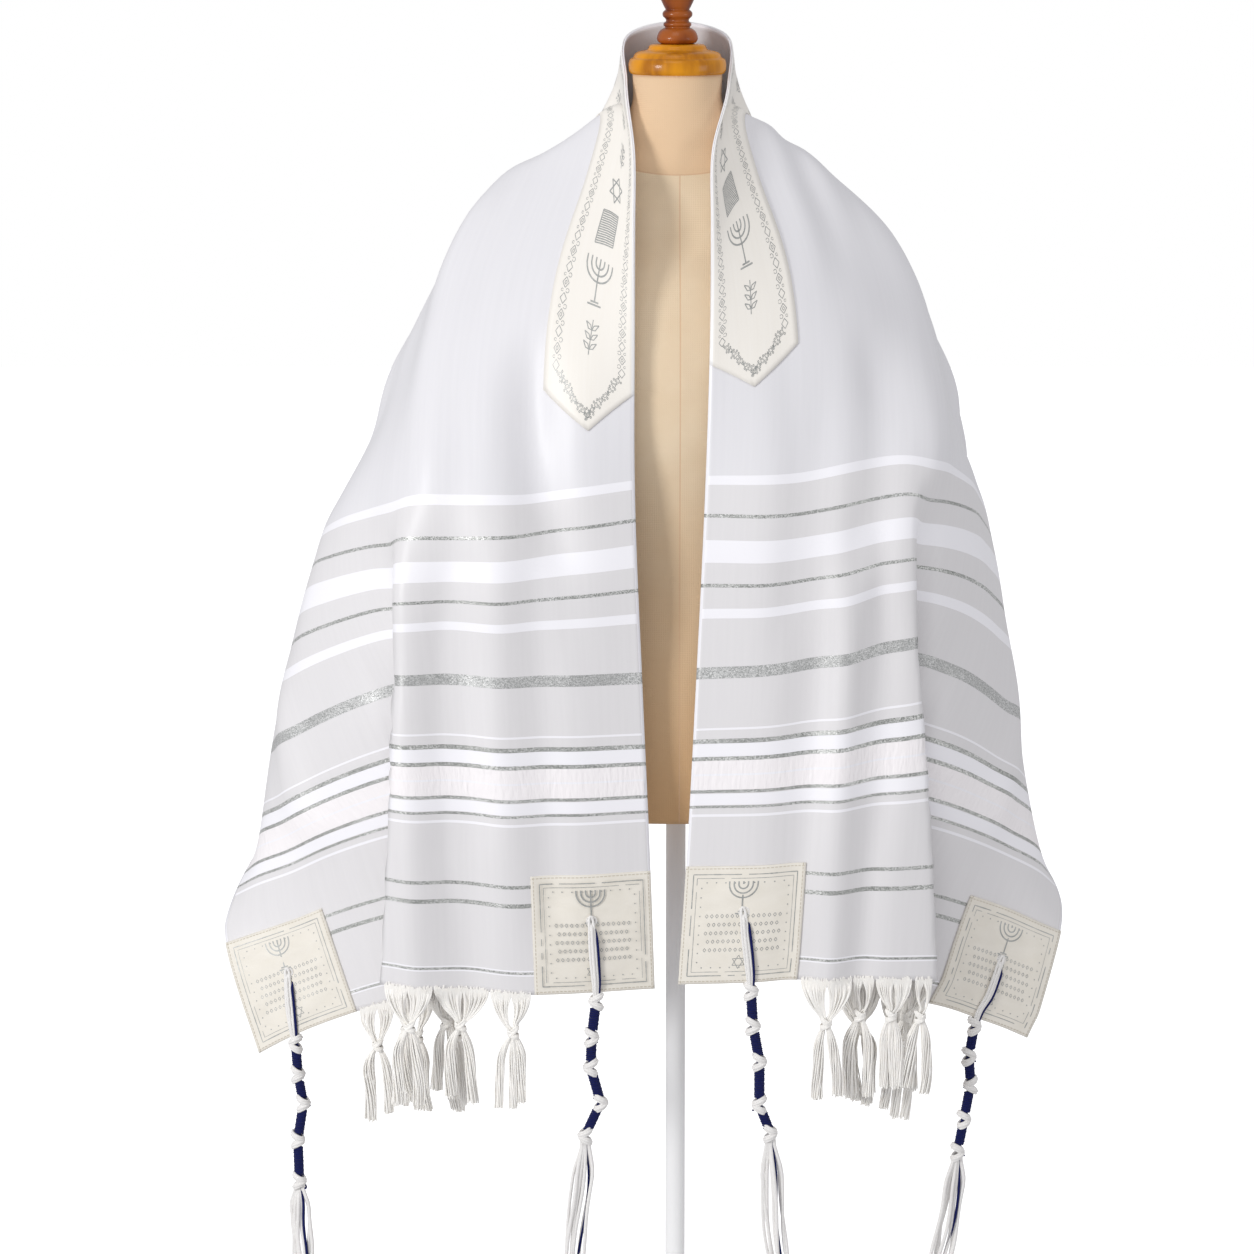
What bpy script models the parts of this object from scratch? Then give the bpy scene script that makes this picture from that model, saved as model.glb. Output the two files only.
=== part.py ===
"""Prayer shawl with neckband, corner patches, knotted fringe and corner tassels, on a dress form.

Metres, +Z up. The front faces -Y, so a viewer in front has -X at the left. The floor is Z = 0, and
the neck of the form stands on the line X = Y = 0.
"""
import math

import bmesh
import bpy
import numpy as np

# Driving sizes of the cut cloth
CLOTH_LENGTH = 1.86
CLOTH_WIDTH = 0.56
CLOTH_WALL = 0.0012
TRIM_WALL = 0.0010
SEAM_GAP = 0.0003
PATCH_SIDE = 0.108
BAND_WIDTH = 0.081
HALF_LENGTH = CLOTH_LENGTH / 2
MM = 0.001

# Neckband: where its square corners and its pointed tip lie, measured up from each hem
BAND_TIP_ROWS = 3
BAND_TIP_LIFT = 0.0006
BAND_ENDS = {"left": {"corner": 0.535, "tip": 0.505}, "right": {"corner": 0.558, "tip": 0.532}}

# Sections of the drape. Each row: height above the hem along the front edge in metres, then nine
# points in millimetres across the cloth, each as distance outward, depth and height.
# Columns: edge, chest, crest, valley, side, flank, arm, back, outer edge
LEFT_SECTIONS = (
    (0.000, (20, -125, 374), (140, -140, 372), (265, -130, 379), (183, -105, 366), (262, -82, 349),
     (300, -68, 334), (335, -57, 318), (360, -48, 304), (386, -40, 288)),
    (0.110, (24, -125, 484), (140, -142, 482), (258, -130, 487), (196, -105, 478), (262, -80, 458),
     (310, -58, 438), (345, -42, 420), (380, -26, 404), (416, -12, 388)),
    (0.270, (31, -125, 644), (140, -140, 643), (246, -130, 644), (215, -110, 637), (254, -98, 628),
     (318, -58, 596), (358, -22, 567), (374, 30, 545), (352, 92, 515)),
    (0.455, (38, -125, 827), (135, -138, 816), (228, -120, 812), (252, -98, 803), (272, -70, 794),
     (303, -34, 779), (321, 4, 761), (318, 62, 722), (283, 122, 612)),
    (0.600, (38, -113, 973), (95, -102, 985), (150, -80, 990), (200, -44, 978), (238, -4, 938),
     (260, 36, 885), (272, 74, 818), (266, 110, 740), (246, 138, 655)),
    (0.680, (38, -88, 1052), (84, -51, 1056), (130, -22, 1070), (172, 0, 1058), (208, 22, 1008),
     (232, 50, 930), (240, 82, 845), (234, 112, 760), (218, 140, 675)),
    (0.750, (38, -58, 1111), (68, -24, 1112), (103, 9, 1118), (146, 30, 1086), (182, 52, 1034),
     (206, 82, 962), (212, 112, 878), (198, 136, 785), (176, 152, 690)),
    (0.830, (45, -12, 1174), (57, 14, 1140), (84, 40, 1110), (112, 66, 1070), (138, 92, 1015),
     (152, 114, 940), (152, 132, 850), (136, 146, 760), (112, 154, 680)),
    (0.887, (42, 33, 1214), (49, 46, 1178), (60, 60, 1136), (74, 80, 1092), (86, 101, 1032),
     (92, 118, 955), (90, 132, 865), (76, 144, 770), (58, 152, 680)),
    (0.930, (0, 56, 1224), (0, 65, 1186), (0, 76, 1136), (0, 93, 1088), (0, 112, 1020),
     (0, 125, 940), (0, 135, 850), (0, 141, 760), (0, 146, 668)),
)
RIGHT_SECTIONS = (
    (0.000, (1, -125, 378), (110, -138, 384), (233, -120, 380), (128, -96, 370), (226, -84, 350),
     (252, -76, 341), (276, -68, 330), (298, -60, 320), (320, -50, 308)),
    (0.110, (8, -125, 488), (110, -138, 493), (227, -120, 497), (140, -97, 486), (232, -84, 462),
     (266, -68, 448), (300, -50, 432), (330, -34, 415), (362, -16, 397)),
    (0.270, (16, -125, 648), (100, -136, 655), (213, -116, 674), (180, -98, 664), (226, -88, 650),
     (262, -58, 630), (298, -18, 598), (316, 30, 572), (292, 108, 520)),
    (0.455, (24, -125, 831), (100, -135, 834), (195, -112, 848), (220, -92, 840), (240, -68, 832),
     (258, -38, 820), (271, 2, 803), (286, 62, 755), (256, 132, 620)),
    (0.600, (28, -113, 975), (88, -102, 988), (142, -80, 994), (190, -44, 980), (226, -4, 940),
     (248, 36, 885), (262, 74, 818), (256, 110, 740), (238, 138, 655)),
    (0.680, (29, -88, 1054), (77, -51, 1057), (124, -22, 1071), (168, 0, 1058), (202, 22, 1006),
     (224, 50, 930), (232, 82, 845), (226, 112, 760), (210, 140, 675)),
    (0.750, (30, -58, 1113), (62, -24, 1113), (97, 9, 1115), (140, 30, 1083), (176, 52, 1032),
     (200, 82, 962), (206, 112, 878), (192, 136, 785), (170, 152, 690)),
    (0.830, (45, -12, 1174), (54, 14, 1140), (82, 40, 1106), (108, 66, 1068), (134, 92, 1012),
     (148, 114, 940), (148, 132, 850), (132, 146, 760), (110, 154, 680)),
    (0.887, (42, 33, 1214), (49, 46, 1178), (58, 60, 1136), (72, 80, 1092), (84, 101, 1032),
     (90, 118, 955), (88, 132, 865), (74, 144, 770), (56, 152, 680)),
)

# Soft folds that run down the front panels. Columns: side, distance from the front edge,
# half-width, depth outward, and the stretch above the hem where the fold shows
FRONT_FOLDS = (
    ("left", 0.090, 0.020, -0.006, 0.10, 0.62),
    ("left", 0.165, 0.024, -0.009, 0.00, 0.60),
    ("left", 0.215, 0.016, 0.006, 0.00, 0.48),
    ("right", 0.100, 0.022, -0.008, 0.00, 0.58),
    ("right", 0.165, 0.014, -0.006, 0.00, 0.45),
    ("right", 0.135, 0.012, 0.005, 0.00, 0.40),
)
FOLD_FADE = 0.12

# Hanging folds of the back, which take up the spare length of the outer edge
BACK_FOLD_PITCH = 0.155
BACK_FOLD_DEPTH = 0.017
BACK_FOLD_ACROSS = (0.20, 0.50)
BACK_FOLD_ALONG = (0.40, 0.62)

# Stations of the cloth's grid. Columns: up to this distance, in this many steps
ACROSS_STEPS = ((BAND_WIDTH, 4), (PATCH_SIDE, 1), (0.215, 4), (0.275, 4),
                (CLOTH_WIDTH - PATCH_SIDE, 6), (CLOTH_WIDTH, 4))
LEFT_STEPS = ((PATCH_SIDE, 4), (BAND_ENDS["left"]["tip"], 13), (BAND_ENDS["left"]["corner"], 1),
              (HALF_LENGTH, 16))
RIGHT_STEPS = ((PATCH_SIDE, 4), (BAND_ENDS["right"]["tip"], 14), (BAND_ENDS["right"]["corner"], 1),
               (HALF_LENGTH, 15))

# Knotted fringe: a strip for each stretch of hem between two folds, and the distances across the
# cloth at which each of its bunches starts and ends
FRINGE_STRIPS = (
    ("fringe_left_front", "left", ((0.111, 0.148), (0.149, 0.198), (0.199, 0.243))),
    ("fringe_left_fold", "left", ((0.254, 0.288), (0.289, 0.323))),
    ("fringe_left_side", "left", ((0.338, 0.374), (0.375, 0.412), (0.413, 0.449))),
    ("fringe_right_front", "right", ((0.111, 0.158), (0.159, 0.178), (0.179, 0.212), (0.215, 0.231))),
    ("fringe_right_fold", "right", ((0.244, 0.286), (0.287, 0.330))),
    ("fringe_right_side", "right", ((0.366, 0.406), (0.407, 0.449))),
)
FRINGE_DROP = 0.0006
LOCKS = 3
STRIP_HEIGHT = 0.003
LOCK_GAP = 0.0024
KNOT_ROUNDNESS = 1.12
KNOT_LOCK_GAP = 0.0011
KNOT_DROP_CHANGE = 0.10
KNOT_SWAY = 0.004
# Share of the knot's height, of its width and of its depth
KNOT_PROFILE = ((0.0, 0.8, 0.7), (0.3, 1.0, 1.0), (0.7, 1.0, 1.0), (1.0, 0.8, 0.7))
# Lock halfway from the hem to the knot
ROOT_SHARE = 0.55
ROOT_HALF_WIDTH = 0.0022
ROOT_HALF_DEPTH = 0.0014
# Loose tails below the knot: where their rings lie, how they fan out, lean and differ in length
TAIL_RINGS = (0.35, 0.7, 1.0)
TAIL_FAN = (0.0026, 0.0038)
TAIL_LEAN = 0.0016
TAIL_UNEVEN = 0.006
TAIL_DEPTH = 0.0026
KNOT_DROP = 0.034
KNOT_HEIGHT = 0.010
KNOT_WIDTH = 0.013
KNOT_DEPTH = 0.008
TAIL_LENGTH = 0.068
TAIL_WIDTH = 0.0034

# Corner tassels. Columns: name, side, height of the eyelet above the hem, its distance across,
# where the cord crosses the hem, then the five knots as sideways shift and drop in millimetres,
# and the sideways shift of the tail ends in millimetres
TASSELS = (
    ("tassel_inner_left", "left", 0.066, 0.055, 0.053,
     ((0, 0), (-4, 33), (-5, 61), (4, 94), (-10, 124)), -20),
    ("tassel_outer_left", "left", 0.060, 0.505, 0.519,
     ((0, 0), (2, 29), (7, 56), (1, 91), (2, 130)), 4),
    ("tassel_inner_right", "right", 0.066, 0.055, 0.066,
     ((0, 0), (2, 32), (8, 65), (8, 105), (18, 131)), 14),
    ("tassel_outer_right", "right", 0.060, 0.505, 0.501,
     ((0, 0), (-5, 28), (-3, 55), (-9, 87), (-15, 117)), -26),
)
TASSEL_LOCKS = 4
STEM_LOCK_GAP = 0.0009
STEM_WIDTH_SHARE = 0.8
# Half the height of a knot, and the drop to the next knot past which the stem has a ring between
TASSEL_KNOT_RISE = 4
LONG_WINDING = 40
# Loop through the eyelet: its half-depth, how far it stands off, and its half-width on the way up
LOOP_HALF_DEPTH = 0.0014
LOOP_STAND_OFF = 0.0018
LOOP_TURN_OUT = 0.0009
LOOP_TURN_DROP = 0.002
LOOP_FIRST_RISE = 0.006
LOOP_HALF_WIDTHS = (0.0016, 0.0030, 0.0034, 0.0026)
# Loose cords below the last knot
LOOSE_RINGS = (0.2, 0.55, 1.0)
LOOSE_FAN = (0.0030, 0.0028)
LOOSE_BOW = 0.003
LOOSE_UNEVEN = 0.004
LOOSE_HALF_WIDTH = 0.0016
CORD_HALF_WIDTH = 0.0046
CORD_HALF_DEPTH = 0.0036
TASSEL_KNOT_SCALE = 1.65
TAIL_END_HEIGHT = 0.060
HEM_CLEARANCE = 0.004

# Dress form: rings from the bottom up, in millimetres.
# Columns: height, half-width, front depth, back depth, squareness
FORM_RINGS = (
    (517, 128, 92, 84, 2.3),
    (560, 140, 98, 92, 2.3),
    (640, 146, 100, 90, 2.2),
    (720, 128, 92, 72, 2.2),
    (800, 134, 98, 70, 2.3),
    (880, 156, 108, 76, 2.4),
    (950, 172, 106, 80, 2.6),
    (1000, 182, 87, 80, 2.7),
    (1030, 172, 62, 76, 2.5),
    (1055, 155, 50.9, 68, 2.2),
    (1080, 124, 44.6, 60, 1.7),
    (1100, 92, 43.5, 54, 1.6),
    (1115, 69, 42.2, 49, 1.55),
    (1132, 52, 41.5, 44, 1.8),
    (1152, 41, 41, 41, 2.0),
    (1180, 40, 40, 40, 2.0),
)
FORM_SEGMENTS = 28

# Turned neck cap and finial. Columns: radius and height in millimetres, from below
CAP_PROFILE = ((41.5, 1180.3), (43.3, 1183.5), (43.4, 1189), (42.0, 1193.5), (38.6, 1195), (37.0, 1198),
               (33.0, 1200), (26.5, 1201.3), (25.6, 1203.5), (23.5, 1206))
FINIAL_PROFILE = ((15.0, 1206.3), (18.0, 1209.5), (17.4, 1214.5), (13.4, 1220), (10.8, 1221), (12.2, 1223),
                  (12.0, 1224.6), (10.2, 1226.5), (10.6, 1228.5), (13.0, 1231), (13.0, 1234), (10.6, 1236.3),
                  (12.8, 1241), (16.0, 1249), (16.8, 1259), (13.8, 1270), (7.0, 1279))
TURNED_SEGMENTS = 28

# Stand
POLE_RADIUS = 0.009
BASE_RADIUS = 0.165
BASE_THICKNESS = 0.012
BASE_EDGE = 0.004
POLE_SEGMENTS = 24
BASE_SEGMENTS = 48

SATIN = {"color": (0.86, 0.86, 0.88), "roughness": 0.42, "metallic": 0.0}
IVORY_SATIN = {"color": (0.84, 0.82, 0.76), "roughness": 0.45, "metallic": 0.0}
CREAM_TAFFETA = {"color": (0.80, 0.77, 0.68), "roughness": 0.60, "metallic": 0.0}
FRINGE_YARN = {"color": (0.84, 0.82, 0.80), "roughness": 0.80, "metallic": 0.0}
TASSEL_CORD = {"color": (0.86, 0.86, 0.86), "roughness": 0.75, "metallic": 0.0}
LINEN = {"color": (0.73, 0.60, 0.43), "roughness": 0.85, "metallic": 0.0}
AMBER_PINE = {"color": (0.70, 0.36, 0.07), "roughness": 0.25, "metallic": 0.0}
RED_PINE = {"color": (0.36, 0.12, 0.03), "roughness": 0.22, "metallic": 0.0}
WHITE_STEEL = {"color": (0.86, 0.86, 0.86), "roughness": 0.35, "metallic": 0.0}


def clear_scene():
    """Remove the objects that a new scene starts with."""
    for item in list(bpy.data.objects):
        bpy.data.objects.remove(item, do_unlink=True)


def make_material(name, look):
    """A plain material of one colour."""
    material = bpy.data.materials.new(name)
    material.use_nodes = True
    shader = material.node_tree.nodes["Principled BSDF"]
    shader.inputs["Base Color"].default_value = (*look["color"], 1.0)
    shader.inputs["Roughness"].default_value = look["roughness"]
    shader.inputs["Metallic"].default_value = look["metallic"]
    return material


def add_object(name, vertices, faces, material, collection, smooth=True):
    """A closed solid from its corners and faces, with all faces turned outward."""
    body = bmesh.new()
    corners = [body.verts.new(tuple(float(value) for value in vertex)) for vertex in vertices]
    for face in faces:
        body.faces.new([corners[index] for index in face])
    bmesh.ops.recalc_face_normals(body, faces=body.faces)
    if body.calc_volume(signed=True) < 0:
        bmesh.ops.reverse_faces(body, faces=body.faces)
    for face in body.faces:
        face.smooth = smooth
    mesh = bpy.data.meshes.new(name)
    body.to_mesh(mesh)
    body.free()
    mesh.materials.append(material)
    item = bpy.data.objects.new(name, mesh)
    collection.objects.link(item)
    return item


def stations(steps):
    """Distances from zero, in even steps between the named ones."""
    marks = [0.0]
    for end, count in steps:
        marks.extend(np.linspace(marks[-1], end, count + 1)[1:])
    return np.array(marks)


def smooth_line(knots, points, at):
    """Points of a smooth line through the given ones, at the given places along its knots."""
    steps = np.diff(knots)[:, None]
    chords = np.diff(points, axis=0) / steps
    slopes = np.empty_like(points)
    slopes[1:-1] = (chords[:-1] * steps[1:] + chords[1:] * steps[:-1]) / (steps[:-1] + steps[1:])
    slopes[0] = chords[0]
    slopes[-1] = chords[-1]
    first = np.clip(np.searchsorted(knots, at, side="right") - 1, 0, len(knots) - 2)
    width = steps[first]
    t = ((at - knots[first])[:, None]) / width
    return ((2 * t**3 - 3 * t**2 + 1) * points[first] + (t**3 - 2 * t**2 + t) * width * slopes[first]
            + (3 * t**2 - 2 * t**3) * points[first + 1] + (t**3 - t**2) * width * slopes[first + 1])


def by_length(points, distances):
    """Points at the given distances along a section that has the cloth's width."""
    bends = np.sqrt(np.linalg.norm(np.diff(points, axis=0), axis=1))
    knots = np.concatenate(([0.0], np.cumsum(bends)))
    fine = smooth_line(knots, points, np.linspace(0.0, knots[-1], 400))
    run = np.concatenate(([0.0], np.cumsum(np.linalg.norm(np.diff(fine, axis=0), axis=1))))
    run *= max(1.0, CLOTH_WIDTH / run[-1])
    return np.stack([np.interp(distances, run, fine[:, axis]) for axis in range(3)], axis=1)


def ramp(value, start, end):
    """Rises smoothly from 0 at start to 1 at end."""
    t = np.clip((value - start) / (end - start), 0.0, 1.0)
    return t * t * (3 - 2 * t)


def surface_normals(points):
    """Unit normals of a grid of points, on the side that is seen when the cloth is worn."""
    along = np.gradient(points, axis=0)
    across = np.gradient(points, axis=1)
    normals = np.cross(along, across)
    return normals / np.linalg.norm(normals, axis=2, keepdims=True)


def drape(along, across):
    """Middle surface of the worn cloth: a grid of points from left hem to right hem, and its normals."""
    rows = []
    knots = []
    for row in LEFT_SECTIONS:
        knots.append(row[0])
        rows.append([(-x, y, z) for x, y, z in row[1:]])
    for row in reversed(RIGHT_SECTIONS):
        knots.append(CLOTH_LENGTH - row[0])
        rows.append(list(row[1:]))
    table = np.array(rows, dtype=float) * MM
    guides = [smooth_line(np.array(knots), table[:, column], along) for column in range(table.shape[1])]
    points = np.stack([by_length(np.array(section), across) for section in zip(*guides)])
    normals = surface_normals(points)
    lift = np.zeros(points.shape[:2])
    from_hem = np.minimum(along, CLOTH_LENGTH - along)[:, None]
    for side, place, half_width, depth, low, high in FRONT_FOLDS:
        here = (along < HALF_LENGTH) if side == "left" else (along > HALF_LENGTH)
        shown = ramp(from_hem, low - FOLD_FADE, low) * (1 - ramp(from_hem, high - FOLD_FADE, high))
        lift += here[:, None] * shown * depth * np.exp(-(((across[None, :] - place) / half_width) ** 2))
    waves = np.cos(2 * math.pi * (along[:, None] - HALF_LENGTH) / BACK_FOLD_PITCH)
    lift += (BACK_FOLD_DEPTH * waves * ramp(across[None, :], *BACK_FOLD_ACROSS)
             * ramp(from_hem, *BACK_FOLD_ALONG))
    points = points + normals * lift[:, :, None]
    return points, surface_normals(points)


class Drape:
    """The worn cloth's grid, and places on it by distance along and across the cloth."""

    def __init__(self):
        left = stations(LEFT_STEPS)
        right = CLOTH_LENGTH - stations(RIGHT_STEPS)[::-1]
        self.along = np.concatenate((left, right[1:]))
        self.across = stations(ACROSS_STEPS)
        self.points, self.normals = drape(self.along, self.across)

    def row(self, side, from_hem):
        """Grid place along the cloth, with its fraction, for a distance above one hem."""
        place = from_hem if side == "left" else CLOTH_LENGTH - from_hem
        index = int(np.clip(np.searchsorted(self.along, place, side="right") - 1, 0, len(self.along) - 2))
        return index, (place - self.along[index]) / (self.along[index + 1] - self.along[index])

    def at(self, side, from_hem, across):
        """Point and normal on the flat facets of the cloth's grid."""
        i, s = self.row(side, from_hem)
        j = int(np.clip(np.searchsorted(self.across, across, side="right") - 1, 0, len(self.across) - 2))
        t = (across - self.across[j]) / (self.across[j + 1] - self.across[j])
        blends = []
        for grid in (self.points, self.normals):
            low = grid[i, j] * (1 - t) + grid[i, j + 1] * t
            high = grid[i + 1, j] * (1 - t) + grid[i + 1, j + 1] * t
            blends.append(low * (1 - s) + high * s)
        return blends[0], blends[1] / np.linalg.norm(blends[1])


def wall(points, normals, inner, outer):
    """Closed wall between two offsets of a grid of points."""
    rows, columns = points.shape[:2]
    low = (points + normals * inner).reshape(-1, 3)
    high = (points + normals * outer).reshape(-1, 3)
    vertices = np.concatenate((low, high))
    shift = rows * columns
    faces = []
    for i in range(rows - 1):
        for j in range(columns - 1):
            a = i * columns + j
            for corners in ((a, a + 1, a + columns + 1), (a, a + columns + 1, a + columns)):
                faces.append(corners)
                faces.append(tuple(index + shift for index in reversed(corners)))
    rim = [j for j in range(columns)]
    rim += [i * columns + columns - 1 for i in range(1, rows)]
    rim += [(rows - 1) * columns + j for j in range(columns - 2, -1, -1)]
    rim += [i * columns for i in range(rows - 2, 0, -1)]
    for a, b in zip(rim, rim[1:] + rim[:1]):
        faces.append((b, a, a + shift, b + shift))
    return vertices, faces


def shawl_cloth(cloth, material, collection):
    """The satin rectangle, worn over the shoulders."""
    vertices, faces = wall(cloth.points, cloth.normals, -CLOTH_WALL / 2, CLOTH_WALL / 2)
    return add_object("shawl_cloth", vertices, faces, material, collection)


def neckband(cloth, material, collection):
    """The band along the neck edge, with a pointed end on each front."""
    columns = int(np.searchsorted(cloth.across, BAND_WIDTH - 1e-6)) + 1
    across = cloth.across[:columns]
    middle = BAND_WIDTH / 2
    first = cloth.row("left", BAND_ENDS["left"]["corner"] + 1e-6)[0] + 1
    last = cloth.row("right", BAND_ENDS["right"]["corner"] + 1e-6)[0]
    tips = {}
    for side, meeting in (("left", cloth.along[first]), ("right", CLOTH_LENGTH - cloth.along[last])):
        ends = BAND_ENDS[side]
        pointed = ends["corner"] + (ends["tip"] - ends["corner"]) * (1 - np.abs(across / middle - 1))
        tips[side] = []
        for part in range(BAND_TIP_ROWS):
            heights = pointed + (meeting - pointed) * part / BAND_TIP_ROWS
            places = [cloth.at(side, height, v) for height, v in zip(heights, across)]
            tips[side].append([(point + normal * BAND_TIP_LIFT, normal) for point, normal in places])
    inner = [list(zip(cloth.points[i, :columns], cloth.normals[i, :columns])) for i in range(first, last + 1)]
    rows = tips["left"] + inner + tips["right"][::-1]
    points = np.array([[point for point, _ in row] for row in rows])
    normals = np.array([[normal for _, normal in row] for row in rows])
    start = CLOTH_WALL / 2 + SEAM_GAP
    vertices, faces = wall(points, normals, start, start + TRIM_WALL)
    return add_object("neckband", vertices, faces, material, collection)


def corner_patch(name, cloth, side, outer, material, collection):
    """A square patch that reinforces one corner, flush with the cloth's edges."""
    rows = int(np.searchsorted(stations(LEFT_STEPS), PATCH_SIDE - 1e-6)) + 1
    if side == "left":
        lines = slice(0, rows)
    else:
        lines = slice(len(cloth.along) - rows, len(cloth.along))
    start_column = int(np.searchsorted(cloth.across, CLOTH_WIDTH - PATCH_SIDE - 1e-6))
    end_column = int(np.searchsorted(cloth.across, PATCH_SIDE - 1e-6)) + 1
    places = slice(start_column, len(cloth.across)) if outer else slice(0, end_column)
    start = CLOTH_WALL / 2 + SEAM_GAP
    vertices, faces = wall(cloth.points[lines, places], cloth.normals[lines, places],
                           start, start + TRIM_WALL)
    return add_object(name, vertices, faces, material, collection)


class Strands:
    """A backing whose lower quads run on as four-sided locks, all in one skin."""

    def __init__(self):
        self.vertices = []
        self.faces = []

    def ring(self, front, back):
        """Two matching rows of corners, and their indices."""
        start = len(self.vertices)
        self.vertices.extend(front)
        self.vertices.extend(back)
        count = len(front)
        return list(range(start, start + count)), list(range(start + count, start + 2 * count))

    def lock(self, first, sections):
        """A four-sided lock from four existing corners through the sections to a closed end."""
        for section in sections:
            start = len(self.vertices)
            self.vertices.extend(section)
            following = [start, start + 1, start + 2, start + 3]
            self.sides(first, following)
            first = following
        return first

    def sides(self, first, following):
        """The four side faces between two rings of four corners."""
        for k in range(4):
            n = (k + 1) % 4
            self.faces.append((first[k], first[n], following[n], following[k]))

    def build(self, name, material, collection):
        return add_object(name, self.vertices, self.faces, material, collection, smooth=False)


def box_section(centre, side, depth, half_width, half_depth):
    """Four corners round a centre, in the order front left, front right, back right, back left."""
    return [centre - side * half_width + depth * half_depth, centre + side * half_width + depth * half_depth,
            centre + side * half_width - depth * half_depth, centre - side * half_width - depth * half_depth]


def knot_rows(centre, side, depth, places, half_depth):
    """Front and back corners of a rounded knot, at the given sideways places."""
    reach = abs(places[0]) * KNOT_ROUNDNESS
    front = []
    back = []
    for place in places:
        bulge = half_depth * math.sqrt(1 - (place / reach) ** 2)
        front.append(centre + side * place + depth * bulge)
        back.append(centre + side * place - depth * bulge)
    return front, back


def lock_places(width, count, gap):
    """Sideways places of the corners of locks that stand side by side."""
    lock = (width - gap * (count - 1)) / count
    places = []
    for k in range(count):
        left = -width / 2 + k * (lock + gap)
        places.extend((left, left + lock))
    return places


def fringe(name, cloth, side, bunches, material, collection):
    """Knotted bunches that hang from a strip under one stretch of hem."""
    down = np.array((0.0, 0.0, -1.0))
    skin = Strands()
    edge_row = 0 if side == "left" else -1
    next_row = 1 if side == "left" else -2
    fall = cloth.points[edge_row] - cloth.points[next_row]
    fall = fall / np.linalg.norm(fall, axis=1, keepdims=True)
    marks = []
    for start, end in bunches:
        marks.extend((start + end) / 2 + place for place in lock_places(end - start, LOCKS, LOCK_GAP))
    tops = []
    for mark in marks:
        point, normal = cloth.at(side, 0.0, mark)
        onward = np.array([np.interp(mark, cloth.across, fall[:, axis]) for axis in range(3)])
        tops.append((point + onward * FRINGE_DROP, normal, onward))
    half = CLOTH_WALL / 2
    top_front, top_back = skin.ring([p + n * half for p, n, _ in tops], [p - n * half for p, n, _ in tops])
    low_front, low_back = skin.ring([p + n * half + f * STRIP_HEIGHT for p, n, f in tops],
                                    [p - n * half + f * STRIP_HEIGHT for p, n, f in tops])
    count = len(marks)
    for k in range(count - 1):
        skin.faces.append((top_front[k], top_front[k + 1], top_back[k + 1], top_back[k]))
        skin.faces.append((top_front[k], top_front[k + 1], low_front[k + 1], low_front[k]))
        skin.faces.append((top_back[k], top_back[k + 1], low_back[k + 1], low_back[k]))
        if k % 2:
            skin.faces.append((low_front[k], low_front[k + 1], low_back[k + 1], low_back[k]))
    for k in (0, count - 1):
        skin.faces.append((top_front[k], low_front[k], low_back[k], top_back[k]))
    per_bunch = 2 * LOCKS
    for bunch in range(len(bunches)):
        base = bunch * per_bunch
        middle = sum(tops[base + k][0] for k in range(per_bunch)) / per_bunch
        across = tops[base + per_bunch - 1][0] - tops[base][0]
        across = across * np.array((1.0, 1.0, 0.0))
        across = across / np.linalg.norm(across)
        outward = tops[base + LOCKS][1]
        outward = outward - across * np.dot(outward, across)
        outward = outward / np.linalg.norm(outward)
        drop = KNOT_DROP * (1 + KNOT_DROP_CHANGE * math.sin(2.4 * bunch))
        sway = across * KNOT_SWAY * math.sin(1.7 * bunch + 1)
        knot_top = middle + down * drop + sway
        wide = lock_places(KNOT_WIDTH, LOCKS, KNOT_LOCK_GAP)
        rings = []
        for level, width_share, depth_share in KNOT_PROFILE:
            front, back = knot_rows(knot_top + down * KNOT_HEIGHT * level, across, outward,
                                    [place * width_share for place in wide], KNOT_DEPTH / 2 * depth_share)
            rings.append(skin.ring(front, back))
        for (front_a, back_a), (front_b, back_b) in zip(rings, rings[1:]):
            for k in range(per_bunch - 1):
                skin.faces.append((front_a[k], front_a[k + 1], front_b[k + 1], front_b[k]))
                skin.faces.append((back_a[k], back_a[k + 1], back_b[k + 1], back_b[k]))
            for k in (0, per_bunch - 1):
                skin.faces.append((front_a[k], front_b[k], back_b[k], back_a[k]))
        for front, back in (rings[0], rings[-1]):
            for k in range(1, per_bunch - 1, 2):
                skin.faces.append((front[k], front[k + 1], back[k + 1], back[k]))
        for lock in range(LOCKS):
            k = base + 2 * lock
            m = 2 * lock
            root = [low_front[k], low_front[k + 1], low_back[k + 1], low_back[k]]
            root_centre = sum(np.array(skin.vertices[index]) for index in root) / 4
            end = [rings[0][0][m], rings[0][0][m + 1], rings[0][1][m + 1], rings[0][1][m]]
            end_centre = sum(np.array(skin.vertices[index]) for index in end) / 4
            halfway = root_centre * (1 - ROOT_SHARE) + end_centre * ROOT_SHARE
            section = box_section(halfway, across, outward, ROOT_HALF_WIDTH, ROOT_HALF_DEPTH)
            middle_ring = skin.lock(root, [section])
            skin.sides(middle_ring, end)
            start = [rings[-1][0][m], rings[-1][0][m + 1], rings[-1][1][m + 1], rings[-1][1][m]]
            spread = lock - (LOCKS - 1) / 2
            sections = []
            for step, part in enumerate(TAIL_RINGS):
                fan = across * spread * (TAIL_FAN[0] + TAIL_FAN[1] * part)
                lean = outward * TAIL_LEAN * math.sin(2.1 * lock + bunch + step)
                centre = knot_top + down * (KNOT_HEIGHT + TAIL_LENGTH * part) + fan + lean
                centre[2] += TAIL_UNEVEN * math.sin(3.1 * lock + 1.3 * bunch) * part
                sections.append(box_section(centre, across, outward, TAIL_WIDTH / 2, TAIL_DEPTH / 2))
            end = skin.lock(start, sections)
            skin.faces.append(tuple(end))
    return skin.build(name, material, collection)


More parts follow.
